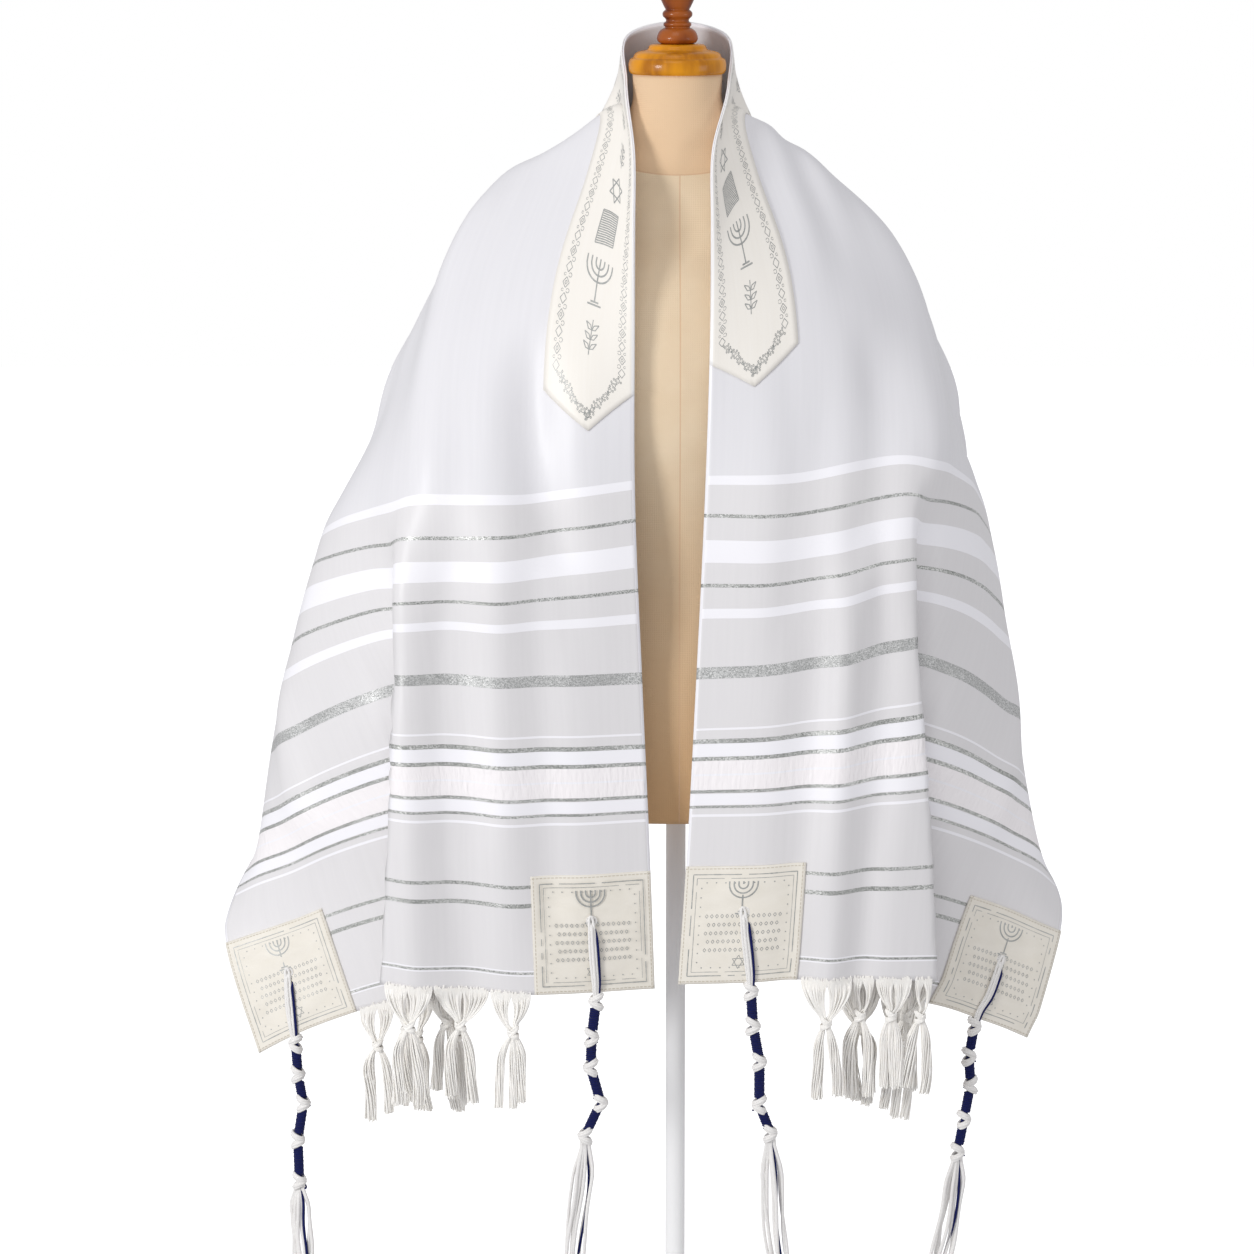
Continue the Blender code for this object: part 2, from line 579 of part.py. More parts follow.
def tassel(row, cloth, material, collection):
    """A corner tassel: a loop through the eyelet, a wound and knotted stem, and loose tails."""
    name, side, eyelet_height, eyelet_across, hem_across, knots, tail_shift = row
    down = np.array((0.0, 0.0, -1.0))
    hem_point, hem_normal = cloth.at(side, 0.0, hem_across)
    eyelet, eyelet_normal = cloth.at(side, eyelet_height, eyelet_across)
    outward = hem_normal * np.array((1.0, 1.0, 0.0))
    outward = outward / np.linalg.norm(outward)
    across = np.cross(outward, down)
    if across[0] < 0:
        across = -across
    start = hem_point + down * HEM_CLEARANCE
    skin = Strands()
    places = np.array(lock_places(2 * CORD_HALF_WIDTH, TASSEL_LOCKS, STEM_LOCK_GAP))
    shape = []
    for (shift, drop), (next_shift, next_drop) in zip(knots, knots[1:] + (knots[-1],)):
        shape.append((shift, drop, 1.0))
        shape.append((shift, drop + TASSEL_KNOT_RISE, TASSEL_KNOT_SCALE))
        shape.append((shift, drop + 2 * TASSEL_KNOT_RISE, 1.0))
        if next_drop > drop + LONG_WINDING:
            shape.append(((shift + next_shift) / 2, (drop + next_drop) / 2, 1.0))
    rings = []
    for shift, drop, scale in shape:
        centre = start + across * shift * MM + down * drop * MM
        front, back = knot_rows(centre, across, outward, places * scale * STEM_WIDTH_SHARE,
                                CORD_HALF_DEPTH * scale)
        rings.append(skin.ring(front, back))
    count = len(places)
    for (front_a, back_a), (front_b, back_b) in zip(rings, rings[1:]):
        for k in range(count - 1):
            skin.faces.append((front_a[k], front_a[k + 1], front_b[k + 1], front_b[k]))
            skin.faces.append((back_a[k], back_a[k + 1], back_b[k + 1], back_b[k]))
        for k in (0, count - 1):
            skin.faces.append((front_a[k], front_b[k], back_b[k], back_a[k]))
    top_front, top_back = rings[0]
    for k in range(1, count - 2):
        skin.faces.append((top_front[k], top_front[k + 1], top_back[k + 1], top_back[k]))
    end_front, end_back = rings[-1]
    for k in range(1, count - 1, 2):
        skin.faces.append((end_front[k], end_front[k + 1], end_back[k + 1], end_back[k]))
    front_reach = CLOTH_WALL / 2 + SEAM_GAP + TRIM_WALL + SEAM_GAP + LOOP_STAND_OFF
    back_reach = CLOTH_WALL / 2 + SEAM_GAP + LOOP_STAND_OFF
    for k, reach, sign in ((0, front_reach, 1.0), (count - 2, back_reach, -1.0)):
        root = [top_front[k], top_front[k + 1], top_back[k + 1], top_back[k]]
        turn = start + outward * sign * (reach + LOOP_TURN_OUT) - down * LOOP_TURN_DROP
        cross, normal = cloth.at(side, LOOP_FIRST_RISE, hem_across)
        rise = cross + normal * sign * reach
        halfway, halfway_normal = cloth.at(side, eyelet_height / 2, (hem_across + eyelet_across) / 2)
        middle = halfway + halfway_normal * sign * reach
        top = eyelet + eyelet_normal * sign * reach
        sections = []
        route = ((turn, outward), (rise, normal), (middle, halfway_normal), (top, eyelet_normal))
        for (centre, facing), half_width in zip(route, LOOP_HALF_WIDTHS):
            line = across - facing * np.dot(across, facing)
            line = line / np.linalg.norm(line)
            sections.append(box_section(centre, line, facing, half_width, LOOP_HALF_DEPTH))
        end = skin.lock(root, sections)
        skin.faces.append(tuple(end))
    last_shift, last_drop, _ = shape[-1]
    stem_end = start + across * last_shift * MM + down * last_drop * MM
    length = stem_end[2] - TAIL_END_HEIGHT
    for lock in range(TASSEL_LOCKS):
        m = 2 * lock
        root = [end_front[m], end_front[m + 1], end_back[m + 1], end_back[m]]
        spread = lock - (TASSEL_LOCKS - 1) / 2
        sections = []
        for part in LOOSE_RINGS:
            bow = LOOSE_BOW * math.sin(4.0 * part + 1.9 * lock)
            centre = (stem_end + down * length * part + outward * bow
                      + across * (spread * (LOOSE_FAN[0] + LOOSE_FAN[1] * part) + tail_shift * MM * part ** 1.5))
            centre[2] += LOOSE_UNEVEN * lock * part
            sections.append(box_section(centre, across, outward, LOOSE_HALF_WIDTH, LOOSE_HALF_WIDTH))
        end = skin.lock(root, sections)
        skin.faces.append(tuple(end))
    return skin.build(name, material, collection)


def loft(name, rings, material, collection):
    """Closed solid through rings of equal count, capped flat at both ends."""
    count = len(rings[0])
    vertices = [corner for ring in rings for corner in ring]
    faces = []
    for i in range(len(rings) - 1):
        for k in range(count):
            n = (k + 1) % count
            faces.append((i * count + k, i * count + n, (i + 1) * count + n, (i + 1) * count + k))
    faces.append(tuple(range(count - 1, -1, -1)))
    last = (len(rings) - 1) * count
    faces.append(tuple(range(last, last + count)))
    return add_object(name, vertices, faces, material, collection)


def turned(name, profile, segments, material, collection):
    """A turned piece from its profile of radius and height."""
    rings = []
    for radius, height in profile:
        rings.append([(radius * math.cos(a), radius * math.sin(a), height)
                      for a in (2 * math.pi * k / segments for k in range(segments))])
    return loft(name, rings, material, collection)


def form_torso(material, collection):
    """The limbless torso, from its bottom edge to the top of the neck."""
    table = np.array(FORM_RINGS, dtype=float)
    heights = np.concatenate([np.linspace(a, b, 3)[:-1] for a, b in zip(table[:-1, 0], table[1:, 0])]
                             + [[table[-1, 0]]])
    smooth = smooth_line(table[:, 0], table, heights)
    rings = []
    for height, half_width, front, back, squareness in smooth:
        ring = []
        for k in range(FORM_SEGMENTS):
            angle = 2 * math.pi * k / FORM_SEGMENTS
            c = math.cos(angle)
            s = math.sin(angle)
            x = math.copysign(abs(c) ** (2 / squareness), c) * half_width
            y = math.copysign(abs(s) ** (2 / squareness), s) * (back if s > 0 else front)
            ring.append((x * MM, y * MM, height * MM))
        rings.append(ring)
    return loft("form_torso", rings, material, collection)


def main():
    clear_scene()
    collection = bpy.data.collections.new("prayer_shawl_on_form")
    bpy.context.scene.collection.children.link(collection)
    satin = make_material("satin", SATIN)
    ivory = make_material("ivory_satin", IVORY_SATIN)
    cream = make_material("cream_taffeta", CREAM_TAFFETA)
    yarn = make_material("fringe_yarn", FRINGE_YARN)
    cord = make_material("tassel_cord", TASSEL_CORD)
    steel = make_material("white_steel", WHITE_STEEL)
    cloth = Drape()
    shawl_cloth(cloth, satin, collection)
    neckband(cloth, ivory, collection)
    for side in ("left", "right"):
        corner_patch("patch_inner_" + side, cloth, side, False, cream, collection)
        corner_patch("patch_outer_" + side, cloth, side, True, cream, collection)
    for name, side, bunches in FRINGE_STRIPS:
        fringe(name, cloth, side, bunches, yarn, collection)
    for row in TASSELS:
        tassel(row, cloth, cord, collection)
    form_torso(make_material("linen", LINEN), collection)
    cap = [(radius * MM, height * MM) for radius, height in CAP_PROFILE]
    turned("neck_cap", cap, TURNED_SEGMENTS, make_material("amber_pine", AMBER_PINE), collection)
    knob = [(radius * MM, height * MM) for radius, height in FINIAL_PROFILE]
    turned("finial", knob, TURNED_SEGMENTS, make_material("red_pine", RED_PINE), collection)
    form_bottom = FORM_RINGS[0][0] * MM
    turned("stand_pole", ((POLE_RADIUS, BASE_THICKNESS + SEAM_GAP), (POLE_RADIUS, form_bottom - SEAM_GAP)),
           POLE_SEGMENTS, steel, collection)
    turned("base_plate", ((BASE_RADIUS, 0.0), (BASE_RADIUS, BASE_THICKNESS - BASE_EDGE),
                          (BASE_RADIUS - BASE_EDGE, BASE_THICKNESS)),
           BASE_SEGMENTS, steel, collection)


main()
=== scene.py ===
import math
import random

import bmesh
import bpy
import numpy as np
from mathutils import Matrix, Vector


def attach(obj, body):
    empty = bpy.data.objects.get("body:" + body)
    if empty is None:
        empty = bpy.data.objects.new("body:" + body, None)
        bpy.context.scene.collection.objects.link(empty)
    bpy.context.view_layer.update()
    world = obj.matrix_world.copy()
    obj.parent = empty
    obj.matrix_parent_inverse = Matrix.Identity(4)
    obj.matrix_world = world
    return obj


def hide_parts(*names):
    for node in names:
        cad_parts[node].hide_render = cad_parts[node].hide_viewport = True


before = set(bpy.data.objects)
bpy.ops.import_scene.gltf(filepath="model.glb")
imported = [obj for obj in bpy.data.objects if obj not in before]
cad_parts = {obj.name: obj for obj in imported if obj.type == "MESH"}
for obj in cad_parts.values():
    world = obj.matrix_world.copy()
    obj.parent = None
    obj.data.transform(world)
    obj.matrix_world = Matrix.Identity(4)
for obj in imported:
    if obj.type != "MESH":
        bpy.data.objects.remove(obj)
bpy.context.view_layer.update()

# Stand
# A pole of steel tube on a round steel plate, powder-coated white. The coat is even, with a low gloss.


def linear(hex_colour):
    """A hex colour as linear red, green, blue and full alpha."""
    channels = [int(hex_colour[i:i + 2], 16) / 255 for i in (1, 3, 5)]
    return tuple(c / 12.92 if c <= 0.04045 else ((c + 0.055) / 1.055) ** 2.4 for c in channels) + (1.0,)


def new_material(name, colour, roughness, **sockets):
    """A material whose shader has these values on its own sockets."""
    material = bpy.data.materials.new(name)
    material.use_nodes = True
    shader = material.node_tree.nodes["Principled BSDF"]
    shader.inputs["Base Color"].default_value = linear(colour)
    shader.inputs["Roughness"].default_value = roughness
    for socket, value in sockets.items():
        shader.inputs[socket.replace("_", " ")].default_value = value
    return material


def add(material, kind, values=None, give=None, **settings):
    """Adds one node and returns its first output or the one named by give.

    A value that is a socket is linked, and any other is set.
    """
    tree = material.node_tree
    node = tree.nodes.new(kind)
    for name, value in settings.items():
        setattr(node, name, value)
    for name, value in (values or {}).items():
        fitting = [s for s in node.inputs if s.name == name and s.enabled]
        socket = node.inputs[name] if isinstance(name, int) else fitting[0]
        if isinstance(value, bpy.types.NodeSocket):
            tree.links.new(value, socket)
        else:
            socket.default_value = value
    return next(s for s in node.outputs if s.enabled and give in (None, s.name))


def feed(material, socket, source):
    """Links a source to the shader's socket."""
    tree = material.node_tree
    tree.links.new(source, tree.nodes["Principled BSDF"].inputs[socket])


MM = 0.001

powder_coat = new_material("powder_coated_steel", "#FBFBFB", 0.45)
coat_orange_peel = add(powder_coat, "ShaderNodeTexNoise",
                       {"Vector": add(powder_coat, "ShaderNodeTexCoord", give="Object"),
                        "Scale": 1 / (2.5 * MM), "Detail": 2.0})
coat_bump = add(powder_coat, "ShaderNodeBump",
                {"Height": coat_orange_peel, "Strength": 0.05, "Distance": 0.1 * MM})
feed(powder_coat, "Normal", coat_bump)
for node_name in ("stand_pole", "base_plate"):
    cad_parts[node_name].data.materials.clear()
    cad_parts[node_name].data.materials.append(powder_coat)

# Torso
# A limbless torso of papier-mache under stretched linen. Its panels meet in a seam down the front,
# one over each breast, one round the neck, and one at each side.

# Rings from the bottom edge up: height, half-width, front and back depth in millimetres, squareness
TORSO_RINGS = (
    (517, 128, 92, 84, 2.3), (560, 140, 98, 92, 2.3), (640, 146, 100, 90, 2.2), (720, 128, 92, 72, 2.2),
    (800, 134, 98, 70, 2.3), (880, 156, 108, 76, 2.4), (950, 168, 102, 80, 2.6), (1000, 176, 81, 80, 2.7),
    (1030, 166, 56, 76, 2.5), (1055, 149, 46, 68, 2.2), (1080, 119, 42, 60, 1.7), (1100, 92, 43.5, 54, 1.6),
    (1115, 69, 42.2, 49, 1.55), (1132, 52, 41.5, 44, 1.8), (1152, 41, 41, 41, 2.0), (1180, 40, 40, 40, 2.0),
)
TORSO_AROUND = 112
TORSO_UP = 150
NECK_SEAM_HEIGHT = 1.093
FRONT_SEAM_PLACE = 0.002


def smooth_line(knots, points, at):
    """Points of a smooth line through the given ones, at the given places along its knots."""
    steps = np.diff(knots)[:, None]
    chords = np.diff(points, axis=0) / steps
    slopes = np.empty_like(points)
    slopes[1:-1] = (chords[:-1] * steps[1:] + chords[1:] * steps[:-1]) / (steps[:-1] + steps[1:])
    slopes[0] = chords[0]
    slopes[-1] = chords[-1]
    first = np.clip(np.searchsorted(knots, at, side="right") - 1, 0, len(knots) - 2)
    width = steps[first]
    t = ((at - knots[first])[:, None]) / width
    return ((2 * t**3 - 3 * t**2 + 1) * points[first] + (t**3 - 2 * t**2 + t) * width * slopes[first]
            + (3 * t**2 - 2 * t**3) * points[first + 1] + (t**3 - t**2) * width * slopes[first + 1])


def mapped_grid(columns, rows, place, wrap=False):
    """A grid of quads, each corner moved to place(share across, share along); wrap joins its sides."""
    body = bmesh.new()
    layer = body.loops.layers.uv.new("shares")
    bmesh.ops.create_grid(body, x_segments=columns, y_segments=rows, size=0.5)
    shares = {corner: (corner.co.x + 0.5, corner.co.y + 0.5) for corner in body.verts}
    for face in body.faces:
        face.smooth = True
        for loop in face.loops:
            loop[layer].uv = shares[loop.vert]
    for corner, (across, along) in shares.items():
        corner.co = place(across, along)
    if wrap:
        bmesh.ops.remove_doubles(body, verts=body.verts, dist=1e-6)
    return body


def add_piece(name, body, materials, slot, *nodes):
    """Makes a piece of a bmesh, fixes it to the part and lets it stand for the given solids."""
    mesh = bpy.data.meshes.new(name)
    body.to_mesh(mesh)
    body.free()
    for material in materials:
        mesh.materials.append(material)
    piece = bpy.data.objects.new(name, mesh)
    bpy.context.scene.collection.objects.link(piece)
    if nodes:
        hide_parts(*nodes)
    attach(piece, "root")
    return piece


torso_table = np.array(TORSO_RINGS, dtype=float)


def torso_place(around, up):
    """A point of the torso's skin."""
    height = torso_table[0, 0] + up * (torso_table[-1, 0] - torso_table[0, 0])
    height, half_width, front, back, squareness = smooth_line(torso_table[:, 0], torso_table,
                                                              np.array([height]))[0]
    angle = 2 * math.pi * around
    c = math.cos(angle)
    s = math.sin(angle)
    x = math.copysign(abs(c) ** (2 / squareness), c) * half_width
    y = math.copysign(abs(s) ** (2 / squareness), s) * (back if s > 0 else front)
    return Vector((x, y, height)) * MM


torso_body = mapped_grid(TORSO_AROUND, TORSO_UP, torso_place, wrap=True)
bmesh.ops.holes_fill(torso_body, edges=[edge for edge in torso_body.edges if edge.is_boundary])
bmesh.ops.recalc_face_normals(torso_body, faces=torso_body.faces)

# Unbleached linen is matt and slubbed, so it looks dry, with faint streaks and a fine grain
linen = new_material("stretched_linen", "#D6BC98", 0.85, Sheen_Weight=0.15, Sheen_Roughness=0.6)
linen_place = add(linen, "ShaderNodeTexCoord", give="Object")
linen_axes = add(linen, "ShaderNodeSeparateXYZ", {"Vector": linen_place}).node.outputs
# Threads lie 0.5 mm apart in real linen, and 1.6 mm here so that they show. A wave texture of
# scale 1 repeats each tenth of pi
LINEN_PITCH = 1.6 * MM
WAVE_PERIOD = math.pi / 10
threads_up = add(linen, "ShaderNodeTexWave", {"Vector": linen_place, "Scale": WAVE_PERIOD / LINEN_PITCH,
                                              "Distortion": 1.2, "Detail": 2.0, "Detail Scale": 1.5},
                 wave_type="BANDS", bands_direction="X")
threads_over = add(linen, "ShaderNodeTexWave", {"Vector": linen_place, "Scale": WAVE_PERIOD / LINEN_PITCH,
                                                "Distortion": 1.2, "Detail": 2.0, "Detail Scale": 1.5},
                   wave_type="BANDS", bands_direction="Z")
linen_slubs = add(linen, "ShaderNodeTexNoise", {"Vector": linen_place, "Scale": 35.0, "Detail": 5.0})
weave = add(linen, "ShaderNodeMath", {0: threads_up, 1: threads_over}, operation="ADD")


def seam_mask(material, coordinate, place, half_width):
    """1 on a narrow seam where a coordinate has the given value, and 0 elsewhere."""
    away = add(material, "ShaderNodeMath", {0: coordinate, 1: place}, operation="SUBTRACT")
    distance = add(material, "ShaderNodeMath", {0: away}, operation="ABSOLUTE")
    return add(material, "ShaderNodeMapRange",
               {"Value": distance, "From Min": 0.0, "From Max": half_width,
                "To Min": 1.0, "To Max": 0.0}, interpolation_type="SMOOTHSTEP")


# The neck seam hangs lower at the front: its height is measured from a curve over x squared
seam_sag = add(linen, "ShaderNodeMath", {0: linen_axes["X"], 1: linen_axes["X"]}, operation="MULTIPLY")
NECK_SEAM_SAG = -2.6
seam_sag = add(linen, "ShaderNodeMath", {0: seam_sag, 1: NECK_SEAM_SAG, 2: linen_axes["Z"]},
               operation="MULTIPLY_ADD")
below_neck = add(linen, "ShaderNodeMath", {0: seam_sag, 1: NECK_SEAM_HEIGHT}, operation="LESS_THAN")
front_seam = add(linen, "ShaderNodeMath",
                 {0: seam_mask(linen, linen_axes["X"], FRONT_SEAM_PLACE, 0.9 * MM),
                  1: below_neck}, operation="MULTIPLY")
neck_seam = seam_mask(linen, seam_sag, NECK_SEAM_HEIGHT, 1.0 * MM)
seams = add(linen, "ShaderNodeMath", {0: front_seam, 1: neck_seam}, operation="MAXIMUM")
linen_tint = add(linen, "ShaderNodeMix", {"Factor": linen_slubs,
                                          "A": linear("#E9D0AE"), "B": linear("#F3DFC1")},
                 data_type="RGBA")
# Painted shade: the linen is darker and browner towards the hips, where the shawl shades it; the tint fades
# in over a third of a metre
linen_low_shade = add(linen, "ShaderNodeMapRange", {"Value": linen_axes["Z"], "From Min": 0.50, "From Max": 0.86})
linen_tint = add(linen, "ShaderNodeMix", {"Factor": linen_low_shade, "A": linear("#D9AE7C"), "B": linen_tint},
                 data_type="RGBA")
linen_pieced = add(linen, "ShaderNodeMix", {"Factor": below_neck, "A": linear("#E9C8A2"),
                                            "B": linen_tint}, data_type="RGBA")
linen_seamed = add(linen, "ShaderNodeMix", {"Factor": seams, "A": linen_pieced,
                                            "B": linear("#DEB892")}, data_type="RGBA")
feed(linen, "Base Color", linen_seamed)
seam_relief = add(linen, "ShaderNodeMath", {0: weave, 1: seams}, operation="SUBTRACT")
linen_bump = add(linen, "ShaderNodeBump", {"Height": seam_relief, "Strength": 0.25,
                                           "Distance": 0.4 * MM})
feed(linen, "Normal", linen_bump)
add_piece("linen_torso", torso_body, [linen], "linen", "form_torso")

# Neck cap
# Pine turned on a lathe in three steps, stained amber and lacquered, so it shines and its grain
# shows only as faint rings and streaks.

# Radius and height in millimetres, from the underside to the top
CAP_PROFILE = ((0, 1180.3), (41.5, 1180.3), (42.8, 1182), (43.4, 1186), (43.3, 1189.5), (41.8, 1193.2),
               (39.2, 1194.5), (38.7, 1196), (37.4, 1198), (34.2, 1199.6), (30.5, 1200.4), (27.0, 1201.2),
               (25.9, 1202.4), (25.3, 1204.2), (23.4, 1205.7), (19, 1206.1), (0, 1206))
TURNING_STEPS = 96


def turned_body(profile, steps_between=3):
    """A turned form: a smoothed profile spun round the upright axis."""
    table = np.array(profile, dtype=float) * MM
    knots = np.concatenate(([0.0], np.cumsum(np.linalg.norm(np.diff(table, axis=0), axis=1))))
    fine = np.concatenate([np.linspace(a, b, steps_between, endpoint=False)
                           for a, b in zip(knots, knots[1:])] + [[knots[-1]]])
    line = smooth_line(knots, table, fine)
    body = bmesh.new()
    corners = [body.verts.new((max(0.0, radius), 0.0, height)) for radius, height in line]
    edges = [body.edges.new(pair) for pair in zip(corners, corners[1:])]
    bmesh.ops.spin(body, geom=corners + edges, cent=(0, 0, 0), axis=(0, 0, 1), angle=2 * math.pi,
                   steps=TURNING_STEPS, use_merge=True)
    bmesh.ops.remove_doubles(body, verts=body.verts, dist=1e-6)
    bmesh.ops.recalc_face_normals(body, faces=body.faces)
    for face in body.faces:
        face.smooth = True
    return body


def lacquered_pine(name, light, dark):
    """Stained pine under gloss lacquer, with grain along the axis and darker lathe rings."""
    wood = new_material(name, light, 0.38, Coat_Weight=0.3, Coat_Roughness=0.12,
                        Coat_IOR=1.5, Specular_IOR_Level=0.2)
    place = add(wood, "ShaderNodeTexCoord", give="Object")
    along = add(wood, "ShaderNodeMapping", {"Vector": place, "Scale": (1.0, 1.0, 0.18),
                                            "Rotation": (0.35, 0.2, 0.0)})
    grain = add(wood, "ShaderNodeTexNoise", {"Vector": along, "Scale": 1 / (6 * MM),
                                             "Detail": 6.0, "Roughness": 0.6})
    rings = add(wood, "ShaderNodeTexWave", {"Vector": along, "Scale": WAVE_PERIOD / (22 * MM),
                                            "Distortion": 6.0, "Detail": 3.0, "Detail Scale": 1.4},
                wave_type="RINGS", rings_direction="Y")
    both = add(wood, "ShaderNodeMath", {0: grain, 1: rings}, operation="MULTIPLY")
    shade = add(wood, "ShaderNodeMapRange", {"Value": both, "From Min": 0.05, "From Max": 0.55})
    colour = add(wood, "ShaderNodeMix", {"Factor": shade, "A": linear(light),
                                         "B": linear(dark)}, data_type="RGBA")
    feed(wood, "Base Color", colour)
    return wood


amber_lacquer = lacquered_pine("amber_lacquered_pine", "#E29508", "#B06A04")
add_piece("turned_neck_cap", turned_body(CAP_PROFILE), [amber_lacquer], "amber_pine", "neck_cap")

# Finial
# A knob of pine turned in one piece, stained red-brown and lacquered, glued on the cap.

# Radius and height in millimetres, from the underside to the top
FINIAL_PROFILE = ((0, 1206.4), (14.0, 1206.4), (16.6, 1207.6), (18.2, 1210.4), (17.8, 1213.8),
                  (15.8, 1217.6), (13.0, 1219.8), (11.2, 1220.7), (11.3, 1221.5), (12.4, 1222.7),
                  (12.3, 1224.4), (10.6, 1225.8), (10.1, 1227), (10.9, 1228.6), (13.0, 1230.8),
                  (13.2, 1233.6), (11.6, 1235.6), (10.6, 1236.4), (11.4, 1238), (13.6, 1242.5),
                  (16.2, 1249), (17.0, 1257), (15.6, 1265), (12.0, 1272),
                  (7.0, 1277), (0, 1278.9))
red_lacquer = lacquered_pine("red_lacquered_pine", "#A4561B", "#6A2A0C")
add_piece("turned_finial", turned_body(FINIAL_PROFILE), [red_lacquer], "red_pine", "finial")

# Shawl
# One rectangle of satin, woven with white satin stripes, silver lurex stripes and one puckered
# stripe across both ends. It hangs from the neck and shoulders, with a fold down each side.

CLOTH_LENGTH = 1.86
CLOTH_WIDTH = 0.56
CLOTH_WALL = 1.2 * MM
HALF_LENGTH = CLOTH_LENGTH / 2
CLOTH_ALONG = 340
CLOTH_ACROSS = 120

# Sections of the drape. Each row: height above the hem along the front edge in metres, then nine
# points in millimetres across the cloth, each as distance outward, depth and height.
# Columns: edge, chest, crest, valley, side, flank, arm, back, outer edge
LEFT_SECTIONS = (
    (0.000, (20, -125, 374), (140, -140, 372), (265, -130, 379), (183, -105, 366), (262, -82, 349),
     (300, -68, 334), (335, -57, 318), (360, -48, 304), (386, -40, 288)),
    (0.110, (24, -125, 484), (140, -142, 482), (258, -130, 487), (196, -105, 478), (262, -80, 458),
     (310, -58, 438), (345, -42, 420), (380, -26, 404), (416, -12, 388)),
    (0.270, (31, -125, 644), (140, -140, 643), (246, -130, 644), (215, -110, 637), (254, -98, 628),
     (318, -58, 596), (358, -22, 567), (374, 30, 545), (352, 92, 515)),
    (0.455, (38, -125, 827), (135, -138, 816), (228, -120, 812), (252, -98, 803), (272, -70, 794),
     (303, -34, 779), (321, 4, 761), (318, 62, 722), (283, 122, 612)),
    (0.600, (38, -113, 973), (85, -93, 992), (137, -73, 999), (200, -44, 978), (238, -4, 938),
     (260, 36, 885), (272, 74, 818), (266, 110, 740), (246, 138, 655)),
    (0.680, (38, -88, 1052), (60, -51, 1081), (109, -15, 1090), (172, 0, 1058), (208, 22, 1008),
     (232, 50, 930), (240, 82, 845), (234, 112, 760), (218, 140, 675)),
    (0.750, (38, -58, 1111), (56, -5, 1145), (97, 10, 1122), (146, 30, 1086), (182, 52, 1034),
     (206, 82, 962), (212, 112, 878), (198, 136, 785), (176, 152, 690)),
    (0.830, (45, -12, 1174), (51, 26, 1151), (84, 40, 1110), (112, 66, 1070), (138, 92, 1015),
     (152, 114, 940), (152, 132, 850), (136, 146, 760), (112, 154, 680)),
    (0.887, (42, 33, 1214), (47, 48, 1179), (60, 60, 1136), (74, 80, 1092), (86, 101, 1032),
     (92, 118, 955), (90, 132, 865), (76, 144, 770), (58, 152, 680)),
    (0.930, (0, 56, 1224), (0, 65, 1186), (0, 76, 1136), (0, 93, 1088), (0, 112, 1020),
     (0, 125, 940), (0, 135, 850), (0, 141, 760), (0, 146, 668)),
)
RIGHT_SECTIONS = (
    (0.000, (1, -125, 378), (110, -138, 384), (233, -120, 380), (128, -96, 370), (226, -84, 350),
     (252, -76, 341), (276, -68, 330), (298, -60, 320), (320, -50, 308)),
    (0.110, (8, -125, 488), (110, -138, 493), (227, -120, 497), (140, -97, 486), (232, -84, 462),
     (266, -68, 448), (300, -50, 432), (330, -34, 415), (362, -16, 397)),
    (0.270, (16, -125, 648), (100, -136, 655), (213, -116, 674), (180, -98, 664), (226, -88, 650),
     (262, -58, 630), (298, -18, 598), (316, 30, 572), (292, 108, 520)),
    (0.455, (24, -125, 831), (100, -135, 834), (195, -112, 848), (220, -92, 840), (240, -68, 832),
     (258, -38, 820), (271, 2, 803), (286, 62, 755), (256, 132, 620)),
    (0.600, (28, -113, 975), (76, -94, 994), (128, -74, 1001), (190, -44, 980), (226, -4, 940),
     (248, 36, 885), (262, 74, 818), (256, 110, 740), (238, 138, 655)),
    (0.680, (29, -88, 1054), (50, -51, 1083), (100, -15, 1091), (168, 0, 1058), (202, 22, 1006),
     (224, 50, 930), (232, 82, 845), (226, 112, 760), (210, 140, 675)),
    (0.750, (30, -58, 1113), (47, -5, 1146), (91, 10, 1121), (140, 30, 1083), (176, 52, 1032),
     (200, 82, 962), (206, 112, 878), (192, 136, 785), (170, 152, 690)),
    (0.830, (45, -12, 1174), (50, 26, 1151), (82, 40, 1106), (108, 66, 1068), (134, 92, 1012),
     (148, 114, 940), (148, 132, 850), (132, 146, 760), (110, 154, 680)),
    (0.887, (42, 33, 1214), (47, 48, 1179), (58, 60, 1136), (72, 80, 1092), (84, 101, 1032),
     (90, 118, 955), (88, 132, 865), (74, 144, 770), (56, 152, 680)),
)

# Soft folds that run down the front panels. Columns: side, distance from the front edge,
# half-width, depth outward, and the stretch above the hem where the fold shows
FRONT_FOLDS = (
    ("left", 0.090, 0.020, -0.006, 0.10, 0.62),
    ("left", 0.165, 0.024, -0.009, 0.00, 0.60),
    ("left", 0.215, 0.016, 0.006, 0.00, 0.48),
    ("right", 0.100, 0.022, -0.008, 0.00, 0.58),
    ("right", 0.165, 0.014, -0.006, 0.00, 0.45),
    ("right", 0.135, 0.012, 0.005, 0.00, 0.40),
)
FOLD_FADE = 0.12
